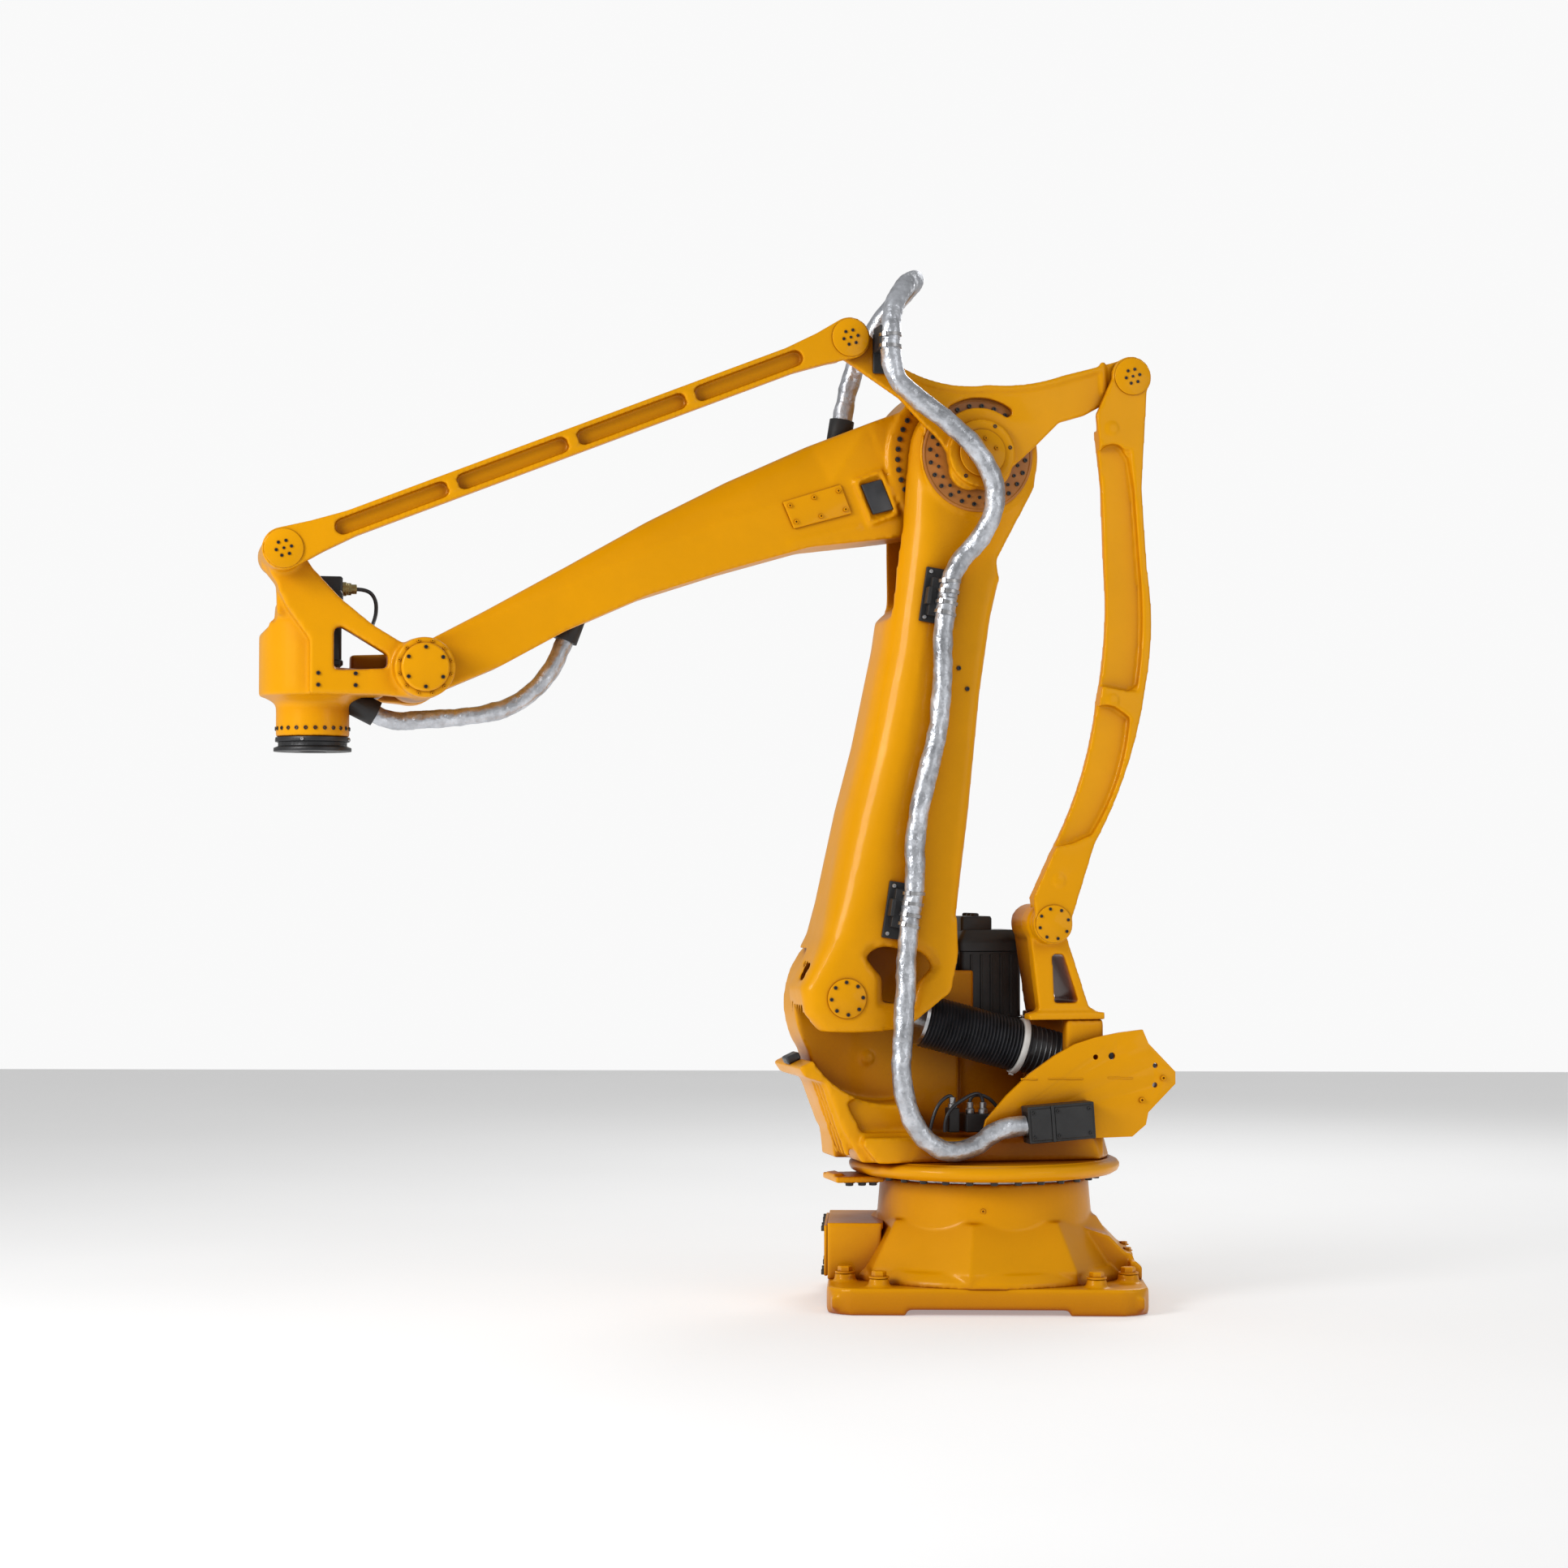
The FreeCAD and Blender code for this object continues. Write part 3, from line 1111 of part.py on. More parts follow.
def export_parts():
    """Write each sub-part to its own file."""
    os.makedirs("parts", exist_ok=True)
    for piece in sub_parts():
        piece.Label = piece.Name
        piece.Shape.exportStep(f"parts/{piece.Label}.step")
        print(f"{piece.Label}: {piece.TypeId}, {len(piece.Shape.Solids)} solid(s)")


def main():
    """Build every sub-part, check the document and write the files."""
    for build in BUILDERS:
        build()
    doc.recompute()
    check_document()
    export_parts()


main()
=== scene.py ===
"""Looks of a palletising robot arm: rounded castings, links, motors, screws, bellows and hoses.

Local shapes are drawn in millimetres in frames that sit on the arm's own pivots: X along the
part, Y across the arm towards its link side, Z up. Each finished mesh is in metres, in place.
"""
import json
import math

import bmesh
import bpy
from bpy.props import FloatProperty, FloatVectorProperty, IntProperty, PointerProperty
from mathutils import Matrix, Vector


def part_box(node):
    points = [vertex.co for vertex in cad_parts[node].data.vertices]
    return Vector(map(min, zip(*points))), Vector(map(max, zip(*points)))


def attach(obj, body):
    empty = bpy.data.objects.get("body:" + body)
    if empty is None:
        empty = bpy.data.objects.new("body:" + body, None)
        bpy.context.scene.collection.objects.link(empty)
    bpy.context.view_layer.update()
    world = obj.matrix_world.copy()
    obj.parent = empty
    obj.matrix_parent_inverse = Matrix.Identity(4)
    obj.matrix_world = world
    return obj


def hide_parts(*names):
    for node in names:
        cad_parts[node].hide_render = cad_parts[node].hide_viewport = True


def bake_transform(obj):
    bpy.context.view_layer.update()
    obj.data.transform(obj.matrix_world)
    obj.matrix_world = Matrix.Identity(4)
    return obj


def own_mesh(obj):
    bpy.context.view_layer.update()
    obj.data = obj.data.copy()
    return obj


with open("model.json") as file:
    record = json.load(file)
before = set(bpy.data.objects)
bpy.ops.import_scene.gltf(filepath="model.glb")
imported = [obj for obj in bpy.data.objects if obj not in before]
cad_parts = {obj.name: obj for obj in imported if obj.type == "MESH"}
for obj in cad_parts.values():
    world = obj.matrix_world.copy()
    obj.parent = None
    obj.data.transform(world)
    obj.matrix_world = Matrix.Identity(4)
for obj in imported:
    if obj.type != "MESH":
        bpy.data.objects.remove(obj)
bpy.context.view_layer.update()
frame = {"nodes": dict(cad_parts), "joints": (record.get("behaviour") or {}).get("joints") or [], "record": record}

bl_info = {
    "name": "Palletising Robot Looks",
    "version": (1, 0, 0),
    "blender": (4, 5, 0),
    "location": "3D View > Sidebar > Robot",
    "description": "Builds the finish and the fittings of a palletising robot on its fixed frame",
    "category": "Object",
}

MM = 0.001

# ---------------------------------------------------------------- frames

JOINTS = {joint["name"]: joint for joint in frame["joints"]}


def pivot(joint):
    """Where a joint's axis stands at rest."""
    return Vector(JOINTS[joint]["pos_m"])


ACROSS = Vector(JOINTS["arm_tilt"]["axis"]).normalized()
UP = Vector((0, 0, 1))
AHEAD = ACROSS.cross(UP)
SHOULDER = pivot("arm_tilt")
ELBOW = pivot("forearm_tilt")
WRIST = pivot("wrist_level")
CRANK_FRONT = pivot("front_link_turn")
TOWER = pivot("rear_link_turn")
CRANK_REAR = ELBOW + TOWER - SHOULDER
WRIST_TOP = WRIST + CRANK_FRONT - ELBOW


def frame_at(origin, along):
    """Millimetre frame at a point: X along a direction, Y across the arm."""
    x = along.normalized()
    z = x.cross(ACROSS)
    turn = Matrix((x, ACROSS, z)).transposed().to_4x4()
    return Matrix.Translation(origin) @ turn @ Matrix.Scale(MM, 4)


BASE = Matrix.Scale(MM, 4)
ARM = frame_at(Vector((0, 0, 0)), AHEAD)
LOWER_ARM = frame_at(SHOULDER, ACROSS.cross(ELBOW - SHOULDER))
REAR_LINK = frame_at(TOWER, ACROSS.cross(ELBOW - SHOULDER))
CRANK = frame_at(ELBOW, AHEAD)
FOREARM = frame_at(ELBOW, WRIST - ELBOW)
FRONT_LINK = frame_at(CRANK_FRONT, WRIST - ELBOW)
WRIST_FRAME = frame_at(WRIST, AHEAD)
BALANCER = frame_at(pivot("balancer_swing"), pivot("balancer_pin_turn") - pivot("balancer_swing"))
TOOL_AHEAD = (pivot("tool_turn") - WRIST).dot(AHEAD) / MM
ARM_LENGTH = (ELBOW - SHOULDER).length / MM
FOREARM_LENGTH = (WRIST - ELBOW).length / MM
TO_NEAR = Matrix.Rotation(math.radians(-90), 4, "X")      # Z laid along +Y
TO_FAR = Matrix.Rotation(math.radians(90), 4, "X")        # Z laid along -Y
TO_FRONT = Matrix.Rotation(math.radians(90), 4, "Y")      # Z laid along +X

# side faces across the arm, from its middle plane
ARM_FACE = 166
DISC_FACE = 172
FOREARM_FACE = 86
CRANK_FACE = 197
LINK_FACE = 220
CAP_FACE = 224.5
WRIST_FACE = 188


def at(x, y, z):
    """Shift inside a millimetre frame."""
    return Matrix.Translation((x, y, z))


def in_frame(place, point):
    """A point of the shared frame as seen in a millimetre frame."""
    return place.inverted() @ point


def in_metres(place):
    """A millimetre frame made fit for shapes that are already in metres."""
    return place @ Matrix.Scale(1 / MM, 4)


# ---------------------------------------------------------------- sizes and colours

class RobotFinish(bpy.types.PropertyGroup):
    """Colours of the finishes"""
    paint: FloatVectorProperty(name="Paint", description="Colour of the castings", subtype="COLOR",
                               default=(0.86, 0.365, 0.0), min=0, max=1)
    # painted shade: the colour that the paint darkens to in corners, where less light falls
    corner_painted_shade: FloatVectorProperty(name="Painted Shade in Corners", description="Painted shade that darkens the paint in corners",
                                     subtype="COLOR", default=(0.30, 0.062, 0.0), min=0, max=1)
    # painted shade: the elbow disc's darker colour stands for the shadow of the bell crank
    disc: FloatVectorProperty(name="Disc Painted Shade", description="Elbow disc under the bell crank",
                              subtype="COLOR", default=(0.36, 0.125, 0.012), min=0, max=1)
    black: FloatVectorProperty(name="Black Enamel", description="Motors and the tool flange",
                               subtype="COLOR", default=(0.010, 0.010, 0.011), min=0, max=1)
    rubber: FloatVectorProperty(name="Rubber", description="Bellows and bumpers", subtype="COLOR",
                                default=(0.016, 0.017, 0.020), min=0, max=1)
    steel: FloatVectorProperty(name="Steel", description="Axles, rod and bright screws",
                               subtype="COLOR", default=(0.52, 0.52, 0.53), min=0, max=1)
    foil: FloatVectorProperty(name="Foil", description="Sleeve of the hose", subtype="COLOR",
                              default=(0.84, 0.87, 0.93), min=0, max=1)
    band: FloatVectorProperty(name="White Band", description="Band on the bellows", subtype="COLOR",
                              default=(0.80, 0.80, 0.77), min=0, max=1)


class RobotCasting(bpy.types.PropertyGroup):
    """How finely the castings are made"""
    grid: FloatProperty(name="Grid", description="Cell of the grid that a casting is remade on",
                        default=0.0050, min=0.002, max=0.02, unit="LENGTH")
    rounds: IntProperty(name="Rounding", description="Passes that round a casting's edges",
                        default=8, min=0, max=40)
    keep: FloatProperty(name="Faces Kept", description="Share of the faces kept after rounding",
                        default=0.30, min=0.05, max=1, subtype="FACTOR")
    edge: FloatProperty(name="Machined Edge", description="Width of a machined piece's broken edge",
                        default=0.0018, min=0.0002, max=0.01, unit="LENGTH")


class RobotScrews(bpy.types.PropertyGroup):
    """Heads of the screws"""
    cap: FloatProperty(name="Cap Screw", description="Radius of a pivot cap's screw head",
                       default=0.0036, min=0.002, max=0.02, unit="LENGTH")
    floor: FloatProperty(name="Floor Bolt", description="Radius of a floor bolt's head",
                         default=0.017, min=0.008, max=0.04, unit="LENGTH")


class RobotHose(bpy.types.PropertyGroup):
    """The foil sleeve of the hose"""
    radius: FloatProperty(name="Radius", description="Radius of the sleeve", default=0.023,
                          min=0.01, max=0.05, unit="LENGTH")
    crumple: FloatProperty(name="Crumple", description="Depth of the sleeve's creases",
                           default=0.0046, min=0, max=0.01, unit="LENGTH")
    pitch: FloatProperty(name="Crease Size", description="Number of creases in a metre",
                         default=25, min=5, max=200)
    seed: IntProperty(name="Seed", description="Start of the crease pattern", default=7)


class RobotStudio(bpy.types.PropertyGroup):
    """Camera and light"""
    lens: FloatProperty(name="Lens", description="Focal length", default=73.1, min=20, max=200)
    sky: FloatProperty(name="Sky", description="Light of the white surroundings", default=0.4,
                       min=0, max=5)
    wall: FloatProperty(name="Wall", description="Brightness of the white wall behind the arm",
                        default=0.95, min=0, max=5)
    key: FloatProperty(name="Key Light", description="Power of the large light", default=210,
                       min=0, max=5000, unit="POWER")


GROUPS = {"robot_finish": RobotFinish, "robot_casting": RobotCasting, "robot_screws": RobotScrews,
          "robot_hose": RobotHose, "robot_studio": RobotStudio}


def setting(group, name):
    """One value of a property group of the scene."""
    return getattr(getattr(bpy.context.scene, group), name)


# ---------------------------------------------------------------- finishes

class NodeMaker:
    """Adds nodes to a node tree and sets or links their sockets."""

    def __init__(self, tree):
        self.tree = tree

    def set(self, node, socket, value):
        """Set a socket to a plain value, or link it."""
        target = node.inputs[socket]
        if isinstance(value, bpy.types.NodeSocket):
            self.tree.links.new(value, target)
        elif hasattr(value, "__len__") and len(value) == 3 and len(target.default_value) == 4:
            target.default_value = (*value, 1)
        else:
            target.default_value = value

    def add(self, kind, settings=(), **inputs):
        """Add a node; inputs are plain values or sockets, by name or by _number."""
        node = self.tree.nodes.new(kind)
        for key, value in dict(settings).items():
            setattr(node, key, value)
        for socket, value in inputs.items():
            self.set(node, int(socket[1:]) if socket[0] == "_" else socket.replace("_", " "), value)
        return node


class Finish(NodeMaker):
    """A material under construction, built round its shader."""

    def __init__(self, name, **values):
        self.material = bpy.data.materials.new(name)
        self.material.use_nodes = True
        super().__init__(self.material.node_tree)
        self.shader = self.tree.nodes["Principled BSDF"]
        self.place = self.add("ShaderNodeTexCoord").outputs["Object"]
        for socket, value in values.items():
            label = socket.replace("_", " ").title().replace("Ior", "IOR")
            self.set(self.shader, label, value)

    def noise(self, scale, detail=2.0, roughness=0.5, stretch=None):
        """Noise in object space, from 0 to 1, drawn out along an axis by `stretch`."""
        place = self.place
        if stretch:
            place = self.add("ShaderNodeMapping", Vector=place, Scale=stretch).outputs[0]
        made = self.add("ShaderNodeTexNoise", Vector=place, Scale=scale, Detail=detail,
                        Roughness=roughness)
        return made.outputs["Fac"]

    def spread(self, value, low, high):
        """Map 0.3..0.7 of a noise to a range."""
        made = self.add("ShaderNodeMapRange", Value=value, From_Min=0.3, From_Max=0.7, To_Min=low,
                        To_Max=high)
        return made.outputs["Result"]

    def dress(self, tone, roughness, normal):
        """Give the shader its colour, roughness and relief."""
        self.set(self.shader, "Base Color", tone)
        self.set(self.shader, "Roughness", roughness)
        self.set(self.shader, "Normal", normal)
        return self.material

    def mix(self, factor, first, second):
        """Blend two colours."""
        made = self.add("ShaderNodeMix", {"data_type": "RGBA"}, _0=factor, _6=first, _7=second)
        return made.outputs[2]

    def corners(self, reach, low, high):
        """From 0 in the open to 1 deep in a corner, by ambient occlusion: the mask of the painted shade."""
        shade = self.add("ShaderNodeAmbientOcclusion", {"samples": 6}, Distance=reach)
        made = self.add("ShaderNodeMapRange", {"interpolation_type": "SMOOTHSTEP"},
                        Value=shade.outputs["AO"], From_Min=low, From_Max=high, To_Min=1, To_Max=0)
        return made.outputs["Result"]

    def bump(self, height, strength, distance, under=None):
        """Raise the surface by a height field, over another bump where one is given."""
        made = self.add("ShaderNodeBump", Height=height, Strength=strength, Distance=distance)
        if under:
            self.set(made, "Normal", under)
        return made.outputs["Normal"]


def times(colour, factor):
    """A colour made lighter or darker."""
    return tuple(part * factor for part in colour)


def paint_finish():
    """Glossy enamel on a cast surface: orange peel, faint waviness, and painted shade that darkens its tone in the
    corners.
    """
    paint, shade = setting("robot_finish", "paint"), setting("robot_finish", "corner_painted_shade")
    made = Finish("yellow_enamel", coat_weight=0.12, coat_roughness=0.08,
                  specular_ior_level=0.34, specular_tint=(1.0, 0.66, 0.22, 1.0))
    patches = made.spread(made.noise(3.1, 3), 0, 1)
    tone = made.mix(patches, tuple(paint), times(paint, 0.90))
    dust = made.spread(made.noise(26, 5, 0.6), 0, 0.22)
    tone = made.mix(dust, tone, times(paint, 0.82))
    # painted shade: the tone turns darker deep in corners, where ambient occlusion finds less light
    tone = made.mix(made.corners(0.20, 0.22, 0.96), tone, tuple(shade))
    waves = made.bump(made.noise(34, 3), 0.10, 0.004)
    relief = made.bump(made.noise(620, 2), 0.10, 0.0006, waves)
    return made.dress(tone, made.spread(made.noise(9, 4), 0.30, 0.44), relief)


def disc_painted_shade_finish():
    """Painted shade on the elbow disc: darker orange paint that stands for the bell crank's shadow."""
    shade = setting("robot_finish", "disc")
    made = Finish("orange_enamel", coat_weight=0.1, coat_roughness=0.2)
    tone = made.mix(made.spread(made.noise(20, 4), 0, 1), times(shade, 1.35), tuple(shade))
    relief = made.bump(made.noise(620, 2), 0.12, 0.0006)
    return made.dress(tone, made.spread(made.noise(30, 4), 0.38, 0.52), relief)


def black_finish():
    """Satin black enamel with a fine grain and dusty patches."""
    black = setting("robot_finish", "black")
    made = Finish("black_enamel")
    tone = made.mix(made.spread(made.noise(14, 4), 0, 1), tuple(black), times(black, 2.2))
    relief = made.bump(made.noise(800, 2), 0.16, 0.0005)
    return made.dress(tone, made.spread(made.noise(22, 4), 0.30, 0.48), relief)


def rubber_finish():
    """Matt rubber, greyer where it is dusty."""
    rubber = setting("robot_finish", "rubber")
    made = Finish("rubber", coat_weight=0.2, coat_roughness=0.25)
    tone = made.mix(made.spread(made.noise(30, 5), 0, 1), tuple(rubber), times(rubber, 2.0))
    relief = made.bump(made.noise(420, 3), 0.2, 0.0006)
    return made.dress(tone, made.spread(made.noise(60, 3), 0.32, 0.50), relief)


def plastic_finish():
    """Black moulded plastic with a fine spark-eroded grain."""
    made = Finish("black_plastic")
    grain = made.add("ShaderNodeTexVoronoi", Vector=made.place, Scale=700).outputs["Distance"]
    tone = made.mix(made.spread(made.noise(18, 3), 0, 1), (0.012, 0.012, 0.013), (0.022, 0.022, 0.023))
    relief = made.bump(grain, 0.25, 0.0004)
    return made.dress(tone, made.spread(made.noise(40, 3), 0.46, 0.60), relief)


def steel_finish():
    """Turned steel with fine machining marks and a film of oil."""
    made = Finish("steel", metallic=1.0)
    steel = setting("robot_finish", "steel")
    marks = made.noise(60, 3, 0.6, (1, 1, 9))
    tone = made.mix(made.spread(marks, 0, 1), tuple(steel), times(steel, 0.72))
    relief = made.bump(made.noise(500, 2, 0.5, (1, 1, 8)), 0.12, 0.0004)
    return made.dress(tone, made.spread(made.noise(48, 4), 0.24, 0.42), relief)


def foil_finish():
    """Aluminised sleeve: bright foil with soft streaks, dull scuffs and fine crumples."""
    foil = setting("robot_finish", "foil")
    made = Finish("aluminised_sleeve", metallic=0.85)
    streaks = made.spread(made.noise(17, 4, 0.62), 0, 1)
    tone = made.mix(streaks, tuple(foil), times(foil, 0.40))
    specks = made.spread(made.noise(70, 4, 0.6), 0, 0.35)
    tone = made.mix(specks, tone, times(foil, 0.34))
    soft = made.bump(made.noise(40, 4, 0.58), 0.5, 0.009)
    relief = made.bump(made.noise(150, 3, 0.5), 0.12, 0.002, soft)
    return made.dress(tone, made.spread(made.noise(60, 4), 0.26, 0.46), relief)


def band_finish():
    """Off-white moulded band."""
    band = setting("robot_finish", "band")
    made = Finish("white_band")
    tone = made.mix(made.spread(made.noise(50, 4), 0, 1), tuple(band), times(band, 0.86))
    relief = made.bump(made.noise(300, 2), 0.12, 0.0005)
    return made.dress(tone, made.spread(made.noise(90, 3), 0.38, 0.52), relief)


def brass_finish():
    """Brass of the small cable fittings."""
    made = Finish("brass", metallic=1.0)
    tone = made.mix(made.spread(made.noise(70, 4), 0, 1), (0.42, 0.33, 0.13), (0.30, 0.24, 0.11))
    relief = made.bump(made.noise(400, 2), 0.1, 0.0004)
    return made.dress(tone, made.spread(made.noise(60, 3), 0.30, 0.48), relief)


FINISHES = {"paint": paint_finish, "disc_painted_shade": disc_painted_shade_finish, "black": black_finish,
            "rubber": rubber_finish, "plastic": plastic_finish, "steel": steel_finish,
            "foil": foil_finish, "band": band_finish, "brass": brass_finish}
SLOTS = {"paint": "yellow_paint", "black": "black_paint", "rubber": "rubber",
         "plastic": "black_plastic", "steel": "steel", "foil": "hose_foil", "band": "white_band"}
made_finishes = {}


def finish_of(name):
    """The material of a finish, made once."""
    if name not in made_finishes:
        made_finishes[name] = FINISHES[name]()
    return made_finishes[name]


# ---------------------------------------------------------------- drawing

def outline(start, *steps):
    """Corner points of a closed outline. A step (x, z) is straight, (xm, zm, x, z) an arc."""
    points = [Vector(start)]
    for step in steps:
        if len(step) == 4:
            points += arc(points[-1], Vector(step[:2]), Vector(step[2:]))
        else:
            points.append(Vector(step))
    return points


def arc(first, middle, last, count=12):
    """Points of the arc through three points, without the first."""
    a, b = middle - first, last - first
    turn = 2 * a.cross(b)
    lift = Vector((b.y * a.length_squared - a.y * b.length_squared,
                   a.x * b.length_squared - b.x * a.length_squared)) / turn
    centre = first + lift
    start, end = (math.atan2(*(p - centre).yx) for p in (first, last))
    through = math.atan2(*(middle - centre).yx)
    whole = 2 * math.pi
    sweep = (end - start) % whole
    if (through - start) % whole > sweep:
        sweep -= whole
    radius = lift.length
    angles = [start + sweep * step / count for step in range(1, count + 1)]
    return [centre + Vector((math.cos(a), math.sin(a))) * radius for a in angles]


def circle(x, z, radius, count=40):
    """Points round a circle."""
    turns = [2 * math.pi * step / count for step in range(count)]
    return [Vector((x + radius * math.cos(a), z + radius * math.sin(a))) for a in turns]


def rounded_box(half_x, half_y, radius, steps=5):
    """Points of a rectangle with round corners."""
    points = []
    for quarter, (sx, sy) in enumerate(((1, 1), (-1, 1), (-1, -1), (1, -1))):
        cx, cy = sx * (half_x - radius), sy * (half_y - radius)
        for step in range(steps + 1):
            angle = math.pi / 2 * (quarter + step / steps)
            points.append(Vector((cx + radius * math.cos(angle), cy + radius * math.sin(angle))))
    return points


def rings_solid(rings, closed=False):
    """A solid skinned over rings of equally many points, its ends capped or joined to each other."""
    shape = bmesh.new()
    loops = [[shape.verts.new(point) for point in ring] for ring in rings]
    following = loops[1:] + loops[:1] if closed else loops[1:]
    for lower, upper in zip(loops, following):
        for here in range(len(lower)):
            there = (here + 1) % len(lower)
            shape.faces.new((lower[here], lower[there], upper[there], upper[here]))
    if not closed:
        shape.faces.new(reversed(loops[0]))
        shape.faces.new(loops[-1])
    bmesh.ops.recalc_face_normals(shape, faces=shape.faces)
    return shape


def prism(points, low, high):
    """A flat outline in the XZ plane carried between two Y levels."""
    return rings_solid([[(p.x, y, p.y) for p in points] for y in (low, high)])


def stack(sections, points):
    """Scaled copies of an outline in the XY plane at rising heights: (height, scale) pairs."""
    return rings_solid([[(p.x * scale, p.y * scale, z) for p in points] for z, scale in sections])


def turned(profile, steps=72):
    """A closed solid of revolution about Z, from (radius, height) points that start on the axis."""
    shape = bmesh.new()
    rings = []
    for radius, height in profile:
        if radius == 0:
            rings.append([shape.verts.new((0, 0, height))])
        else:
            rings.append([shape.verts.new((p.x, p.y, height)) for p in circle(0, 0, radius, steps)])
    for lower, upper in zip(rings, rings[1:]):
        for here in range(steps):
            there = (here + 1) % steps
            corners = [lower[here % len(lower)], lower[there % len(lower)],
                       upper[there % len(upper)], upper[here % len(upper)]]
            shape.faces.new(list(dict.fromkeys(corners)))
    bmesh.ops.recalc_face_normals(shape, faces=shape.faces)
    return shape


def ring_of(profile, steps=72):
    """A closed ring about Z from a closed (radius, height) outline."""
    turns = [math.tau * step / steps for step in range(steps)]
    return rings_solid([[(r * math.cos(a), r * math.sin(a), h) for r, h in profile] for a in turns],
                       closed=True)


def block(low, high):
    """A box between two corners."""
    (x0, y0, z0), (x1, y1, z1) = low, high
    return prism([Vector(p) for p in ((x0, z0), (x1, z0), (x1, z1), (x0, z1))], y0, y1)


def rounding(edge, side, half, radii):
    """A cutter that rounds the upright edge of a slab on one side, with a radius per point."""
    rings = []
    for (x, z), radius in zip(edge, radii):
        way = 1 if x > 0 else -1
        turns = [math.pi / 2 * step / 8 for step in range(9)]
        curve = [(x - way * radius * (1 - math.sin(a)), half - radius * (1 - math.cos(a)))
                 for a in turns]
        section = [*curve, (x + way * 12, half - radius), (x + way * 12, half + 12),
                   (x - way * radius, half + 12)]
        rings.append([(u, side * v, z) for u, v in section])
    return rings_solid(rings)


def slant_cutter(crest, depths, face, side):
    """A cutter that slants a slab's side face along its upper edge: (inward, downward) per point."""
    rings = []
    for (x, z), (inward, downward) in zip(crest, depths):
        rings.append([(x, face, z - downward), (x, face + side * 14, z - downward),
                      (x, face + side * 14, z + 30), (x, face - side * inward, z + 30),
                      (x, face - side * inward, z)])
    return rings_solid(rings)


def ring_plate(x, z, outer, inner, low, high, count=72):
    """A flat ring along Y."""
    shape = ring_of([(inner, low), (outer, low), (outer, high), (inner, high)], count)
    return moved(shape, at(x, 0, z) @ TO_NEAR)


def moved(shape, place):
    """Carry a shape into a frame."""
    shape.transform(place)
    return shape


def placed(shapes, place):
    """Carry several shapes into a frame."""
    return [moved(shape, place) for shape in shapes]


def join(shapes):
    """One mesh from several shapes, which are used up."""
    whole = bmesh.new()
    for shape in shapes:
        part = bpy.data.meshes.new("part")
        shape.to_mesh(part)
        shape.free()
        whole.from_mesh(part)
        bpy.data.meshes.remove(part)
    mesh = bpy.data.meshes.new("joined")
    whole.to_mesh(mesh)
    whole.free()
    return mesh


def cad_shape(*nodes, whole_faces=True):
    """A merged copy of the frame's own mesh of some nodes, its flat faces made whole if asked."""
    shape = bmesh.new()
    for node in nodes:
        shape.from_mesh(frame["nodes"][node].data)
    bmesh.ops.remove_doubles(shape, verts=shape.verts, dist=1e-6)
    if whole_faces:
        bmesh.ops.dissolve_limit(shape, angle_limit=math.radians(0.5), verts=shape.verts,
                                 edges=shape.edges)
    for layer in list(shape.loops.layers.uv):
        shape.loops.layers.uv.remove(layer)
    return shape


def put(name, data):
    """Put an object in the scene."""
    thing = bpy.data.objects.new(name, data)
    bpy.context.scene.collection.objects.link(thing)
    return thing


def baked(thing):
    """The mesh that an object's modifiers or curve settings give."""
    seen = bpy.context.evaluated_depsgraph_get()
    return bpy.data.meshes.new_from_object(thing.evaluated_get(seen))


def show(name, mesh, smooth=35):
    """Put a mesh in the scene with soft shading below an angle."""
    thing = put(name, mesh)
    mesh.polygons.foreach_set("use_smooth", [True] * len(mesh.polygons))
    if smooth and mesh.polygons:
        mesh.set_sharp_from_angle(angle=math.radians(smooth))
    return thing


def change(thing, kind, **settings):
    """Apply one modifier to an object's mesh."""
    modifier = thing.modifiers.new("step", kind)
    for key, value in settings.items():
        setattr(modifier, key, value)
    mesh = baked(thing)
    if not mesh.polygons:
        raise RuntimeError(f"{kind} left {thing.name} without faces")
    thing.modifiers.clear()
    thing.data = mesh
    return thing


def finished(thing, finish, body, *nodes):
    """Give a piece its finish and body, and let it stand for its frame nodes."""
    thing.data.materials.clear()
    thing.data.materials.append(finish_of(finish))
    thing.data.polygons.foreach_set("material_index", [0] * len(thing.data.polygons))
    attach(thing, body)
    if nodes:
        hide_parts(*nodes)
    return thing


def casting(name, body, nodes=(), adds=(), cuts=(), grid=None, keep=None, rounds=None):
    """A rough painted casting with rounded edges, from frame nodes, added shapes and cuts."""
    grid = grid or setting("robot_casting", "grid")
    shapes = [cad_shape(*nodes, whole_faces=False)] if nodes else []
    if cuts:
        trial = show(name + "_raw", join(shapes), smooth=0)
        for number, cut in enumerate(cuts):
            tool = show(f"{name}_cut_{number}", join([cut]), smooth=0)
            change(trial, "BOOLEAN", operation="DIFFERENCE", solver="MANIFOLD", object=tool)
            bpy.data.objects.remove(tool)
        shape = bmesh.new()
        shape.from_mesh(trial.data)
        bpy.data.objects.remove(trial)
        shapes = [shape]
    thing = show(name, join(shapes + list(adds)), smooth=0)
    change(thing, "REMESH", mode="VOXEL", voxel_size=grid)
    passes = setting("robot_casting", "rounds") if rounds is None else rounds
    change(thing, "SMOOTH", factor=0.5, iterations=passes)
    change(thing, "DECIMATE", ratio=keep or setting("robot_casting", "keep"))
    thing.data.polygons.foreach_set("use_smooth", [True] * len(thing.data.polygons))
    return finished(thing, "paint", body, *nodes)


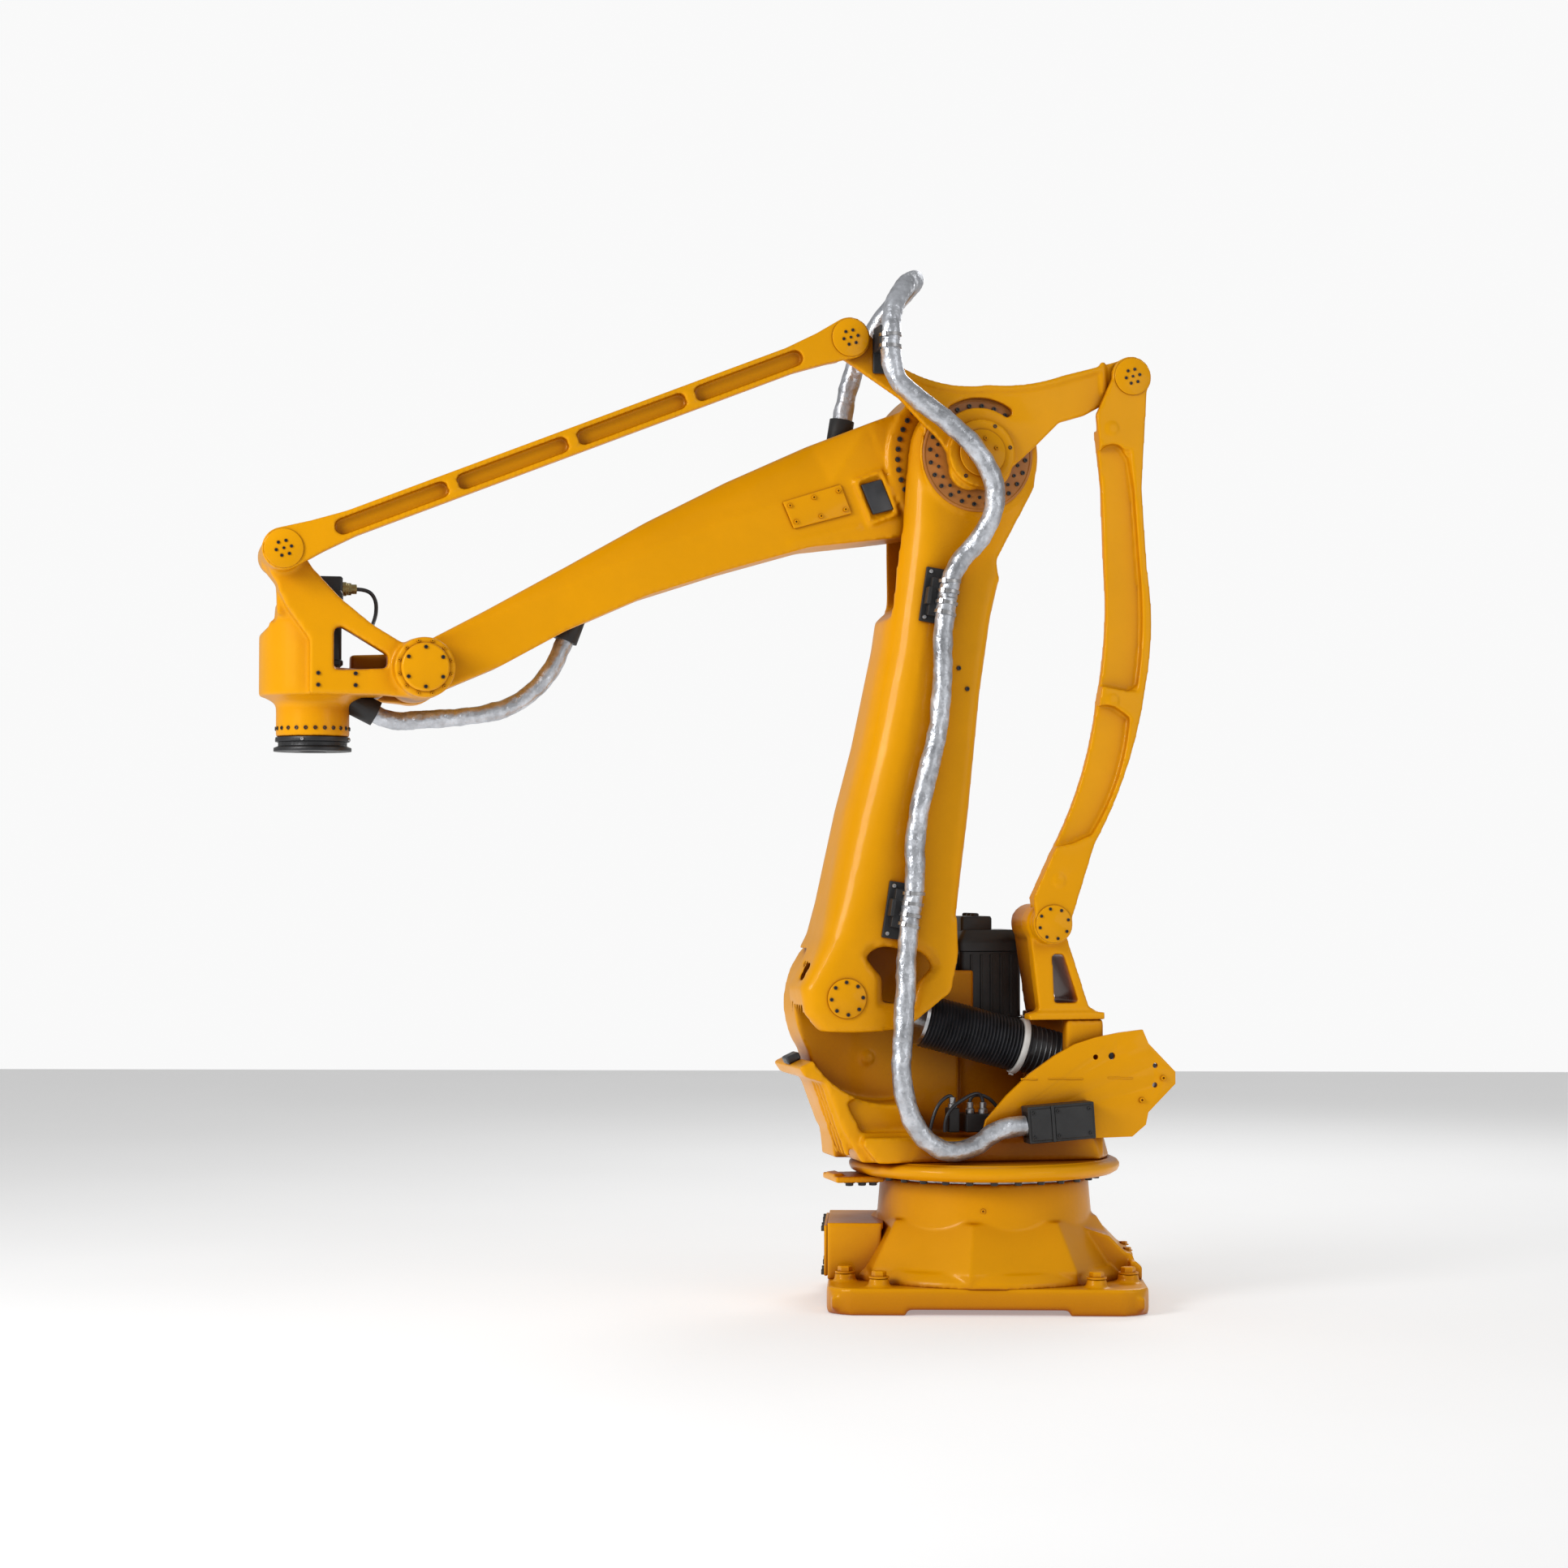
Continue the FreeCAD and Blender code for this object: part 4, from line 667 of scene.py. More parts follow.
def machined(name, body, shapes, finish, nodes=(), edge=None, segments=2):
    """A machined piece with crisp faces and narrow broken edges."""
    thing = show(name, join(shapes), smooth=0)
    change(thing, "BEVEL", width=edge or setting("robot_casting", "edge"), segments=segments,
           limit_method="ANGLE", angle_limit=math.radians(38), use_clamp_overlap=True,
           miter_outer="MITER_ARC", harden_normals=True)
    return finished(thing, finish, body, *nodes)


# ---------------------------------------------------------------- node trees for what repeats

class Tree(NodeMaker):
    """A Geometry Nodes tree with named inputs."""

    def __init__(self, name, **inputs):
        super().__init__(bpy.data.node_groups.new(name, "GeometryNodeTree"))
        face = self.tree.interface
        face.new_socket("Geometry", in_out="INPUT", socket_type="NodeSocketGeometry")
        for label, (kind, default) in inputs.items():
            socket = face.new_socket(label, in_out="INPUT", socket_type="NodeSocket" + kind)
            if default is not None:
                socket.default_value = default
        face.new_socket("Geometry", in_out="OUTPUT", socket_type="NodeSocketGeometry")
        self.source = self.tree.nodes.new("NodeGroupInput").outputs
        self.sink = self.tree.nodes.new("NodeGroupOutput").inputs

    def end(self, geometry):
        """Realize the result and give it its material."""
        real = self.add("GeometryNodeRealizeInstances", Geometry=geometry).outputs[0]
        last = self.add("GeometryNodeSetMaterial", Geometry=real, Material=self.source["Material"])
        self.tree.links.new(last.outputs[0], self.sink["Geometry"])

    def run(self, name, base, place, **inputs):
        """Evaluate the tree on some geometry, bake it to a mesh and carry it into a frame."""
        thing = put(name + "_rule", base)
        modifier = thing.modifiers.new("rule", "NODES")
        modifier.node_group = self.tree
        for item in self.tree.interface.items_tree:
            if item.in_out == "INPUT" and item.name in inputs:
                modifier[item.identifier] = inputs[item.name]
        mesh = baked(thing)
        bpy.data.objects.remove(thing)
        if not mesh.polygons:
            raise RuntimeError(f"{self.tree.name} made no faces for {name}")
        mesh.transform(place)
        return show(name, mesh)


def ring_tree():
    """Copies of a piece round a circle, turned with it and tipped outwards by an angle."""
    tree = Tree("copies_round_a_circle", Copies=("Int", 6), Radius=("Float", 0.1),
                Start=("Float", 0.0), Tip=("Float", 0.0), Piece=("Object", None),
                Material=("Material", None))
    source = tree.source
    index = tree.add("GeometryNodeInputIndex").outputs[0]
    step = tree.add("ShaderNodeMath", {"operation": "DIVIDE"}, _0=math.tau, _1=source["Copies"])
    angle = tree.add("ShaderNodeMath", {"operation": "MULTIPLY_ADD"}, _0=index,
                     _1=step.outputs[0], _2=source["Start"]).outputs[0]
    line = tree.add("GeometryNodeMeshLine", Count=source["Copies"])
    cosine = tree.add("ShaderNodeMath", {"operation": "COSINE"}, _0=angle).outputs[0]
    sine = tree.add("ShaderNodeMath", {"operation": "SINE"}, _0=angle).outputs[0]
    way = tree.add("ShaderNodeCombineXYZ", X=cosine, Y=sine).outputs[0]
    spot = tree.add("ShaderNodeVectorMath", {"operation": "SCALE"}, _0=way, Scale=source["Radius"])
    set_place = tree.add("GeometryNodeSetPosition", Geometry=line.outputs[0],
                         Position=spot.outputs[0])
    turn = tree.add("ShaderNodeCombineXYZ", Y=source["Tip"], Z=angle).outputs[0]
    piece = tree.add("GeometryNodeObjectInfo", Object=source["Piece"])
    copies = tree.add("GeometryNodeInstanceOnPoints", Points=set_place.outputs[0],
                      Instance=piece.outputs["Geometry"], Rotation=turn)
    tree.end(copies.outputs[0])
    return tree


def point_tree():
    """Copies of a piece on the points of a mesh."""
    tree = Tree("copies_on_points", Piece=("Object", None), Material=("Material", None))
    piece = tree.add("GeometryNodeObjectInfo", Object=tree.source["Piece"])
    copies = tree.add("GeometryNodeInstanceOnPoints", Points=tree.source["Geometry"],
                      Instance=piece.outputs["Geometry"])
    tree.end(copies.outputs[0])
    return tree


def row_tree():
    """Copies of a piece in a straight row."""
    tree = Tree("copies_in_a_row", Copies=("Int", 10), Step=("Vector", (0.01, 0, 0)),
                Piece=("Object", None), Material=("Material", None))
    source = tree.source
    line = tree.add("GeometryNodeMeshLine", Count=source["Copies"], Offset=source["Step"])
    piece = tree.add("GeometryNodeObjectInfo", Object=source["Piece"])
    copies = tree.add("GeometryNodeInstanceOnPoints", Points=line.outputs[0],
                      Instance=piece.outputs["Geometry"])
    tree.end(copies.outputs[0])
    return tree


def sleeve_tree():
    """A crumpled sleeve along a curve: creases press its skin in and out."""
    tree = Tree("crumpled_sleeve", Radius=("Float", 0.02), Crumple=("Float", 0.002),
                Pitch=("Float", 40.0), Seed=("Float", 0.0), Material=("Material", None))
    source = tree.source
    line = tree.add("GeometryNodeResampleCurve", {"mode": "LENGTH"}, Curve=source["Geometry"],
                    Length=0.003)
    ring = tree.add("GeometryNodeCurvePrimitiveCircle", Resolution=30, Radius=source["Radius"])
    skin = tree.add("GeometryNodeCurveToMesh", Curve=line.outputs[0],
                    Profile_Curve=ring.outputs[0], Fill_Caps=True).outputs[0]
    spot = tree.add("GeometryNodeInputPosition").outputs[0]
    cells = tree.add("ShaderNodeTexVoronoi", {"voronoi_dimensions": "4D"}, Vector=spot,
                     W=source["Seed"], Scale=source["Pitch"]).outputs["Distance"]
    fine = tree.add("ShaderNodeTexNoise", {"noise_dimensions": "4D"}, Vector=spot,
                    W=source["Seed"], Scale=52.0, Detail=2.5).outputs["Fac"]
    both = tree.add("ShaderNodeMath", {"operation": "ADD"}, _0=cells, _1=fine).outputs[0]
    level = tree.add("ShaderNodeMath", {"operation": "SUBTRACT"}, _0=both, _1=1.05).outputs[0]
    deep = tree.add("ShaderNodeMath", {"operation": "MULTIPLY"}, _0=level, _1=source["Crumple"])
    normal = tree.add("GeometryNodeInputNormal").outputs[0]
    shift = tree.add("ShaderNodeVectorMath", {"operation": "SCALE"}, _0=normal,
                     Scale=deep.outputs[0]).outputs[0]
    moved_skin = tree.add("GeometryNodeSetPosition", Geometry=skin, Offset=shift)
    tree.end(moved_skin.outputs[0])
    return tree


TREES = {"ring": ring_tree, "points": point_tree, "row": row_tree, "sleeve": sleeve_tree}
made_trees = {}


def tree_of(name):
    """A node tree, made once."""
    if name not in made_trees:
        made_trees[name] = TREES[name]()
    return made_trees[name]


# ---------------------------------------------------------------- screws

def socket_screw(radius):
    """A socket head screw, its head standing on Z 0, in metres."""
    high = radius * 1.05
    steps = 12
    profile = [(radius, 0, 1), (radius, high * 0.84, 1), (radius * 0.88, high, 1),
               (radius * 0.52, high, 0.93), (radius * 0.50, high * 0.45, 0.88)]
    rings = []
    for reach, height, flat in profile:
        ring = []
        for step in range(steps):
            angle = math.tau * step / steps
            pull = flat if step % 2 else 1
            ring.append((reach * pull * math.cos(angle), reach * pull * math.sin(angle), height))
        rings.append(ring)
    return rings_solid(rings)


def hex_bolt(radius):
    """A hexagon head bolt on its washer, standing on Z 0, in metres."""
    thick = radius * 0.22
    washer = turned([(0, 0), (radius * 1.35, 0), (radius * 1.35, thick), (0, thick)], 28)
    hexagon = circle(0, 0, radius, 6)
    head = stack([(thick, 1), (radius * 0.78, 1), (radius * 0.90, 0.88)], hexagon)
    return [washer, head]


def screw_model(kind, radius):
    """A hidden object that holds one screw for the trees to copy."""
    shapes = hex_bolt(radius) if kind == "hex" else [socket_screw(radius)]
    return show(f"model_{kind}", join(shapes), smooth=30)


def screw_ring(name, body, place, copies, radius, head, start=0.0, tip=0.0, finish="black"):
    """Socket screws round a circle in a frame's XY plane; the head's radius is in metres."""
    model = screw_model("socket", head)
    empty = bpy.data.meshes.new("empty")
    metres = in_metres(place)
    thing = tree_of("ring").run(name, empty, metres, Copies=copies, Radius=radius * MM,
                                Start=math.radians(start), Tip=math.radians(tip), Piece=model,
                                Material=finish_of(finish))
    bpy.data.objects.remove(model)
    return finished(thing, finish, body)


def screw_set(name, body, place, points, head, finish="black", kind="socket"):
    """Screws at (x, y) or (x, y, z) points of a frame; the head's radius is in metres."""
    model = screw_model(kind, head)
    base = bpy.data.meshes.new("points")
    base.from_pydata([Vector((*p, 0)[:3]) * MM for p in points], [], [])
    metres = in_metres(place)
    thing = tree_of("points").run(name, base, metres, Piece=model, Material=finish_of(finish))
    bpy.data.objects.remove(model)
    return finished(thing, finish, body)


def near_face(place, x, y, z):
    """Frame on a face that looks to the link side: its Z is the arm's +Y, its Y is down."""
    return place @ at(x, y, z) @ TO_NEAR


# ---------------------------------------------------------------- base

FLARE_SIDES = 8
FLARE_TURN = math.radians(7)


def facet_ring(height, radius):
    """One octagonal ring of the pedestal's flare."""
    turns = [math.tau * side / FLARE_SIDES - FLARE_TURN for side in range(FLARE_SIDES)]
    return [(radius * math.cos(a), radius * math.sin(a), height) for a in turns]


class ROBOT_OT_base(bpy.types.Operator):
    """Base plate, faceted pedestal, connector box and their bolts"""
    bl_idname = "robot.base"
    bl_label = "Base"
    bl_options = {"REGISTER", "UNDO"}

    def execute(self, context):
        rim = prism(outline((-352, 12), (352, 12), (352, 40), (-352, 40)), -316, 316)
        casting("base_plate_cast", "base", ["base_plate"], adds=[moved(rim, BASE)])
        self.pedestal()
        box = [block((240, -150, 58), (362, 150, 186)), block((236, -144, 176), (352, 144, 188))]
        casting("cable_box_cast", "base", ["cable_box"], adds=placed(box, BASE),
                grid=0.004, rounds=3)
        machined("cable_box_lid", "base", [cad_shape("cable_box_cover")], "paint",
                 ["cable_box_cover"], edge=0.0025)
        lid = BASE @ at(372, 0, 0) @ TO_FRONT
        spots = [(-z, y) for y in (-132, -60, 60, 132) for z in (74, 174)]
        screw_set("cable_box_screws", "base", lid, spots, 0.0065)
        floor = [(x * 323, y * 190, 80) for x in (-1, 1) for y in (-1, 1)]
        floor += [(x * 245, y * 285, 80) for x in (-1, 1) for y in (-1, 1)]
        screw_set("floor_bolts", "base", BASE, floor, setting("robot_screws", "floor"), "paint", "hex")
        screw_ring("neck_plug", "base", BASE @ at(0, 0, 226), 1, 245, 0.0055, 88, 90, "paint")
        return {"FINISHED"}

    def pedestal(self):
        """Flare with eight soft facets, a stepped neck and the wedge on its back."""
        trim = rings_solid([facet_ring(90, 330), facet_ring(198, 262), facet_ring(198, 460),
                            facet_ring(90, 460)], closed=True)
        neck = turned([(0, 150), (250, 150), (251, 196), (247, 204), (246, 244), (243, 250),
                       (241, 286), (0, 286)], 128)
        wedge = prism(outline((-225, 178), (-285, 158), (-320, 122), (-338, 116), (-352, 76),
                              (-356, 58), (-225, 58)), -120, 120)
        lugs = [prism(outline((-330, 60), (-358, 60), (-358, 90), (-342, 104), (-330, 104)), y, y + 22)
                for y in (-150, 128)]
        foot = turned([(0, 58), (331, 58), (328, 72), (312, 90), (0, 90)], 128)
        flare = rings_solid([facet_ring(60, 332), facet_ring(90, 330), facet_ring(198, 262)])
        shapes = placed([neck, wedge, foot, flare, *lugs], BASE)
        casting("pedestal_cast", "base", ["pedestal"], adds=shapes, cuts=[moved(trim, BASE)],
                grid=0.0042, rounds=5)
        screw_set("wedge_screws", "base", BASE, [(-330, -60, 117), (-330, 60, 117)], 0.0095,
                  "paint", "hex")


# ---------------------------------------------------------------- column

class ROBOT_OT_column(bpy.types.Operator):
    """Turntable ring, column casting, stops, side plates and link tower"""
    bl_idname = "robot.column"
    bl_label = "Column"
    bl_options = {"REGISTER", "UNDO"}

    def execute(self, context):
        self.ring()
        self.body()
        self.side_plates()
        tower = [prism(circle(-104, 877, 49), 120, 172),
                 prism(outline((-240, 655), (-60, 655), (-60, 664), (-72, 672), (-240, 672)), 140, 178)]
        casting("link_tower_cast", "column", ["link_tower"], adds=placed(tower, ARM),
                grid=0.004, rounds=5)
        foot = [(x, y, 669) for x in (-222, -178) for y in (20, 110)]
        screw_set("tower_bolts", "column", ARM, foot, 0.0085, "paint", "hex")
        machined("stop_bumper_pad", "column", [cad_shape("stop_bumper")], "rubber", ["stop_bumper"],
                 edge=0.005, segments=4)
        return {"FINISHED"}

    def ring(self):
        """Turntable ring with its grooved rim and the stop lug under its front."""
        profile = [(0, 0), (286, 0), (300, 2), (312, 9), (316, 17), (316, 24), (311, 31), (303, 35),
                   (296, 36), (294, 38), (0, 38)]
        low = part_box("turntable_ring")[0].z / MM
        machined("turntable_ring_turned", "column", [moved(turned(profile, 160), BASE @ at(0, 0, low))],
                 "paint", ["turntable_ring"], edge=0.0008)
        lug = [block((258, -70, low - 14), (372, 70, low)), block((230, -46, low - 12), (300, 46, low)),
               prism(outline((330, low - 14), (372, low - 14), (372, low + 4), (350, low + 6)), -40, 40)]
        casting("swivel_stop_cast", "column", ["swivel_stop"], adds=placed(lug, ARM),
                grid=0.003, rounds=4)
        under = ARM @ at(0, 0, low - 14) @ Matrix.Rotation(math.pi, 4, "X")
        spots = [(x, y) for x in (280, 306, 336) for y in (-48, 48)]
        screw_set("stop_bolts", "column", under, spots, 0.0095, "black", "hex")
        below = ARM @ at(0, 0, low) @ Matrix.Rotation(math.pi, 4, "X")
        screw_ring("ring_screws", "column", below, 30, 266, 0.0085, 5)

    def body(self):
        """Column casting with its pressed panel, ribs and the plug in the housing."""
        front = [prism(outline((352, 346), (366, 346), (427, 520), (412, 524)), y, y + 9)
                 for y in (30, 62, 94, 126)]
        shelf = prism(outline((150, 332), (300, 332), (336, 376), (330, 392), (150, 392)), 100, 184)
        lip = prism(outline((-205, 384), (20, 384), (20, 398), (-205, 398)), 176, 190)
        boss = prism(circle(281, 563, 13), -8, 4)
        panel = prism(outline((188, 400), (330, 400), (366, 470), (330, 486), (188, 470)), 132, 170)
        shapes = placed([*front, shelf, lip, boss], ARM)
        casting("column_cast", "column", ["column_casting"], adds=shapes, cuts=[moved(panel, ARM)])

    def side_plates(self):
        """The two side plates with rounded edges, weld beads and screws."""
        for side in ("near", "far"):
            node = side + "_side_plate"
            machined(node + "_cut", "column", [cad_shape(node)], "paint", [node], edge=0.003,
                     segments=3)
        beads = [prism(outline((x, 518), (x + span, 520), (x + span, 524), (x, 523)), 201, 203.6)
                 for x, span in ((-300, 62), (-180, 86), (-70, 40))]
        casting("side_plate_beads", "column", adds=placed(beads, ARM), grid=0.0015,
                rounds=3, keep=0.5)
        near = near_face(ARM, 0, 202, 0)
        screw_set("side_plate_screws", "column", near,
                  [(-60, -412), (-150, -404), (-320, -470), (-372, -520)], 0.006, "paint")


# ---------------------------------------------------------------- lower arm

class ROBOT_OT_lower_arm(bpy.types.Operator):
    """Lower arm casting with its elbow discs, screws and cap"""
    bl_idname = "robot.lower_arm"
    bl_label = "Lower Arm"
    bl_options = {"REGISTER", "UNDO"}

    def execute(self, context):
        top = ARM_LENGTH
        recess = prism(outline((105, top - 128), (64, top - 128), (136, top - 46, 142, top + 30),
                               (128, top + 62), (105, top + 92)), ARM_FACE - 5, ARM_FACE + 9)
        rims = [ring_plate(0, top, 137, 127, DISC_FACE - 8, DISC_FACE + 0.5)]
        lobe_rim = ring_plate(117, 0, 60, 49, ARM_FACE - 8, ARM_FACE + 1.5)
        bed = block((-8, ARM_FACE - 20, 130), (64, ARM_FACE - 0.5, 1030))
        shapes = placed([*rims, lobe_rim, bed], LOWER_ARM)
        front = [(150, -95), (206, -50), (221, 8), (200, 68), (182, 136), (178, 214), (167, 426),
                 (151, 581), (138, 815), (138, 950), (139, top - 180), (146, top - 60),
                 (148, top + 40)]
        back = [(-114, 221), (-112, 277), (-107, 464), (-93, 740), (-92, top - 364),
                (-99, top - 277)]
        near = [30, 36, 42, 48, 62, 84, 100, 100, 96, 88, 76, 56, 46]
        far = [60, 80, 90, 100, 125, 150, 165, 170, 172, 168, 120, 60, 40]
        edges = [rounding(front, 1, ARM_FACE, near), rounding(front, -1, ARM_FACE, far),
                 rounding(back, 1, ARM_FACE, [18] * 6), rounding(back, -1, ARM_FACE, [18] * 6)]
        lip = prism(outline((98, 104), (58, 142, 2, 141), (-58, 140, -90, 102), (-60, 56),
                            (-52, -8), (42, -10), (52, 54)), ARM_FACE - 7, ARM_FACE + 9)
        cuts = placed([recess, lip, *edges], LOWER_ARM)
        casting("lower_arm_cast", "lower_arm", ["lower_arm_casting"], adds=shapes, cuts=cuts,
                grid=0.0055, keep=0.28)
        # a thin plate over the elbow disc that carries painted shade: darker paint for the bell crank's shadow
        plate = ring_of([(60, 0), (131, 0), (131, 2.6), (129, 4), (126, 4), (124, 2.4), (60, 2.4)], 120)
        disc = near_face(LOWER_ARM, 0, DISC_FACE - 1, top)
        machined("elbow_disc_plate", "lower_arm", [moved(plate, disc)], "disc_painted_shade", edge=0.0004)
        face = disc @ at(0, 0, 2)
        screw_ring("elbow_disc_screws", "lower_arm", face, 24, 114, 0.0050, 4)
        screw_ring("elbow_disc_plugs", "lower_arm", face, 24, 98, 0.0040, 11)
        holes = near_face(LOWER_ARM, 0, ARM_FACE - 2, 0)
        screw_set("arm_plugs", "lower_arm", holes, [(-31, -788), (-58, -744)], 0.0052)
        machined("balancer_pin_cap", "lower_arm", [cad_shape("balancer_front_pin")], "paint",
                 ["balancer_front_pin"], edge=0.0015)
        cap = near_face(LOWER_ARM, 117, ARM_FACE + 4.5, 0)
        screw_ring("balancer_cap_screws", "lower_arm", cap, 8, 37, 0.0042, 12)
        return {"FINISHED"}


# ---------------------------------------------------------------- forearm and wrist

class ROBOT_OT_forearm(bpy.types.Operator):
    """Forearm casting with its bolt circle, cover plate and stop"""
    bl_idname = "robot.forearm"
    bl_label = "Forearm"
    bl_options = {"REGISTER", "UNDO"}

    def execute(self, context):
        stop = [block((202, 88, z), (276, 99, z + 9)) for z in (-62, 42)]
        stop += [block((x, 88, -58), (x + 10, 99, 50)) for x in (202, 268)]
        ridge = [prism(outline((300, -60), (470, -34), (470, -28), (300, -50)), 84, 91)]
        shapes = placed(stop + ridge, FOREARM)
        crest = [(190, 161.6), (330, 163), (439, 158), (549, 152), (760, 131), (972, 101),
                 (1181, 73), (1290, 60)]
        depths = [(1, 100), (40, 103), (42, 95), (40, 84), (30, 60), (20, 38), (10, 17), (3, 5)]
        slants = [moved(slant_cutter(crest, depths, side * FOREARM_FACE, side), FOREARM)
                  for side in (1, -1)]
        casting("forearm_cast", "forearm", ["forearm_casting"], adds=shapes, cuts=slants)
        machined("forearm_cover_plate", "forearm", [cad_shape("forearm_cover")], "paint",
                 ["forearm_cover"], edge=0.003, segments=3)
        machined("elbow_stop_pad", "forearm", [cad_shape("elbow_stop")], "rubber", ["elbow_stop"],
                 edge=0.003)
        cover = near_face(FOREARM, 0, 94.5, 0)
        spots = [(320, 6), (440, -8), (440, -48), (320, -40), (380, 0), (380, -46)]
        screw_set("forearm_cover_screws", "forearm", cover, spots, 0.005, "paint")
        turns = [math.radians(degrees) for degrees in range(-76, 77, 8)]
        spots = [(171 * math.cos(turn), 171 * math.sin(turn)) for turn in turns]
        for side, level, lie in (("near", 95.5, TO_NEAR), ("far", -95.5, TO_FAR)):
            face = FOREARM @ at(0, level, 0) @ lie
            screw_set(f"hub_screws_{side}", "forearm", face, spots, 0.006)
        return {"FINISHED"}


class ROBOT_OT_wrist(bpy.types.Operator):
    """Wrist casting, axle cap, bracket and screws"""
    bl_idname = "robot.wrist"
    bl_label = "Wrist"
    bl_options = {"REGISTER", "UNDO"}

    def execute(self, context):
        neck = turned([(0, -150), (82, -150), (82.4, -138), (80, -136), (80, -84), (88, -72),
                       (110, -60), (0, -40)], 96)
        cuts = [prism(outline((319, 104), (321, 182), (350, 219), (420, 219), (420, 104)), 60, 160),
                prism(outline((316, 114), (350, 80), (420, 80), (420, 175), (316, 175)), -140, 60)]
        casting("wrist_cast", "wrist", ["wrist_housing"],
                adds=[moved(neck, WRIST_FRAME @ at(TOOL_AHEAD, 0, 0))],
                cuts=placed(cuts, WRIST_FRAME), grid=0.0042, rounds=14, keep=0.3)
        machined("wrist_cap", "wrist", [cad_shape("wrist_axle_cap")], "paint", ["wrist_axle_cap"],
                 edge=0.002)
        cap = near_face(WRIST_FRAME, 0, WRIST_FACE + 10, 0)
        screw_ring("wrist_cap_screws", "wrist", cap, 6, 44, 0.0042, 30)
        boss = near_face(WRIST_FRAME, 0, WRIST_FACE - 1, 0)
        screw_ring("wrist_boss_screws", "wrist", boss, 12, 60, 0.0036, 15, finish="paint")
        bar = near_face(WRIST_FRAME, 0, 149, 0)
        spots = [(150, 14), (150, 40), (232, 14), (232, 40)]
        screw_set("wrist_bar_screws", "wrist", bar, spots, 0.0045)
        collar = WRIST_FRAME @ at(TOOL_AHEAD, 0, -131)
        screw_ring("neck_sockets", "wrist", collar, 24, 79.5, 0.0045, 0, 90)
        return {"FINISHED"}


class ROBOT_OT_tool_flange(bpy.types.Operator):
    """Black tool flange with its grooves, holes and side plug"""
    bl_idname = "robot.tool_flange"
    bl_label = "Tool Flange"
    bl_options = {"REGISTER", "UNDO"}

    def execute(self, context):
        machined("tool_flange_turned", "tool_flange", [cad_shape("tool_flange")], "black",
                 ["tool_flange"], edge=0.0012)
        rim = WRIST_FRAME @ at(TOOL_AHEAD, 0, -156)
        screw_ring("flange_plugs", "tool_flange", rim, 4, 82, 0.0042, 70, 90, "steel")
        return {"FINISHED"}


# ---------------------------------------------------------------- links and bell crank

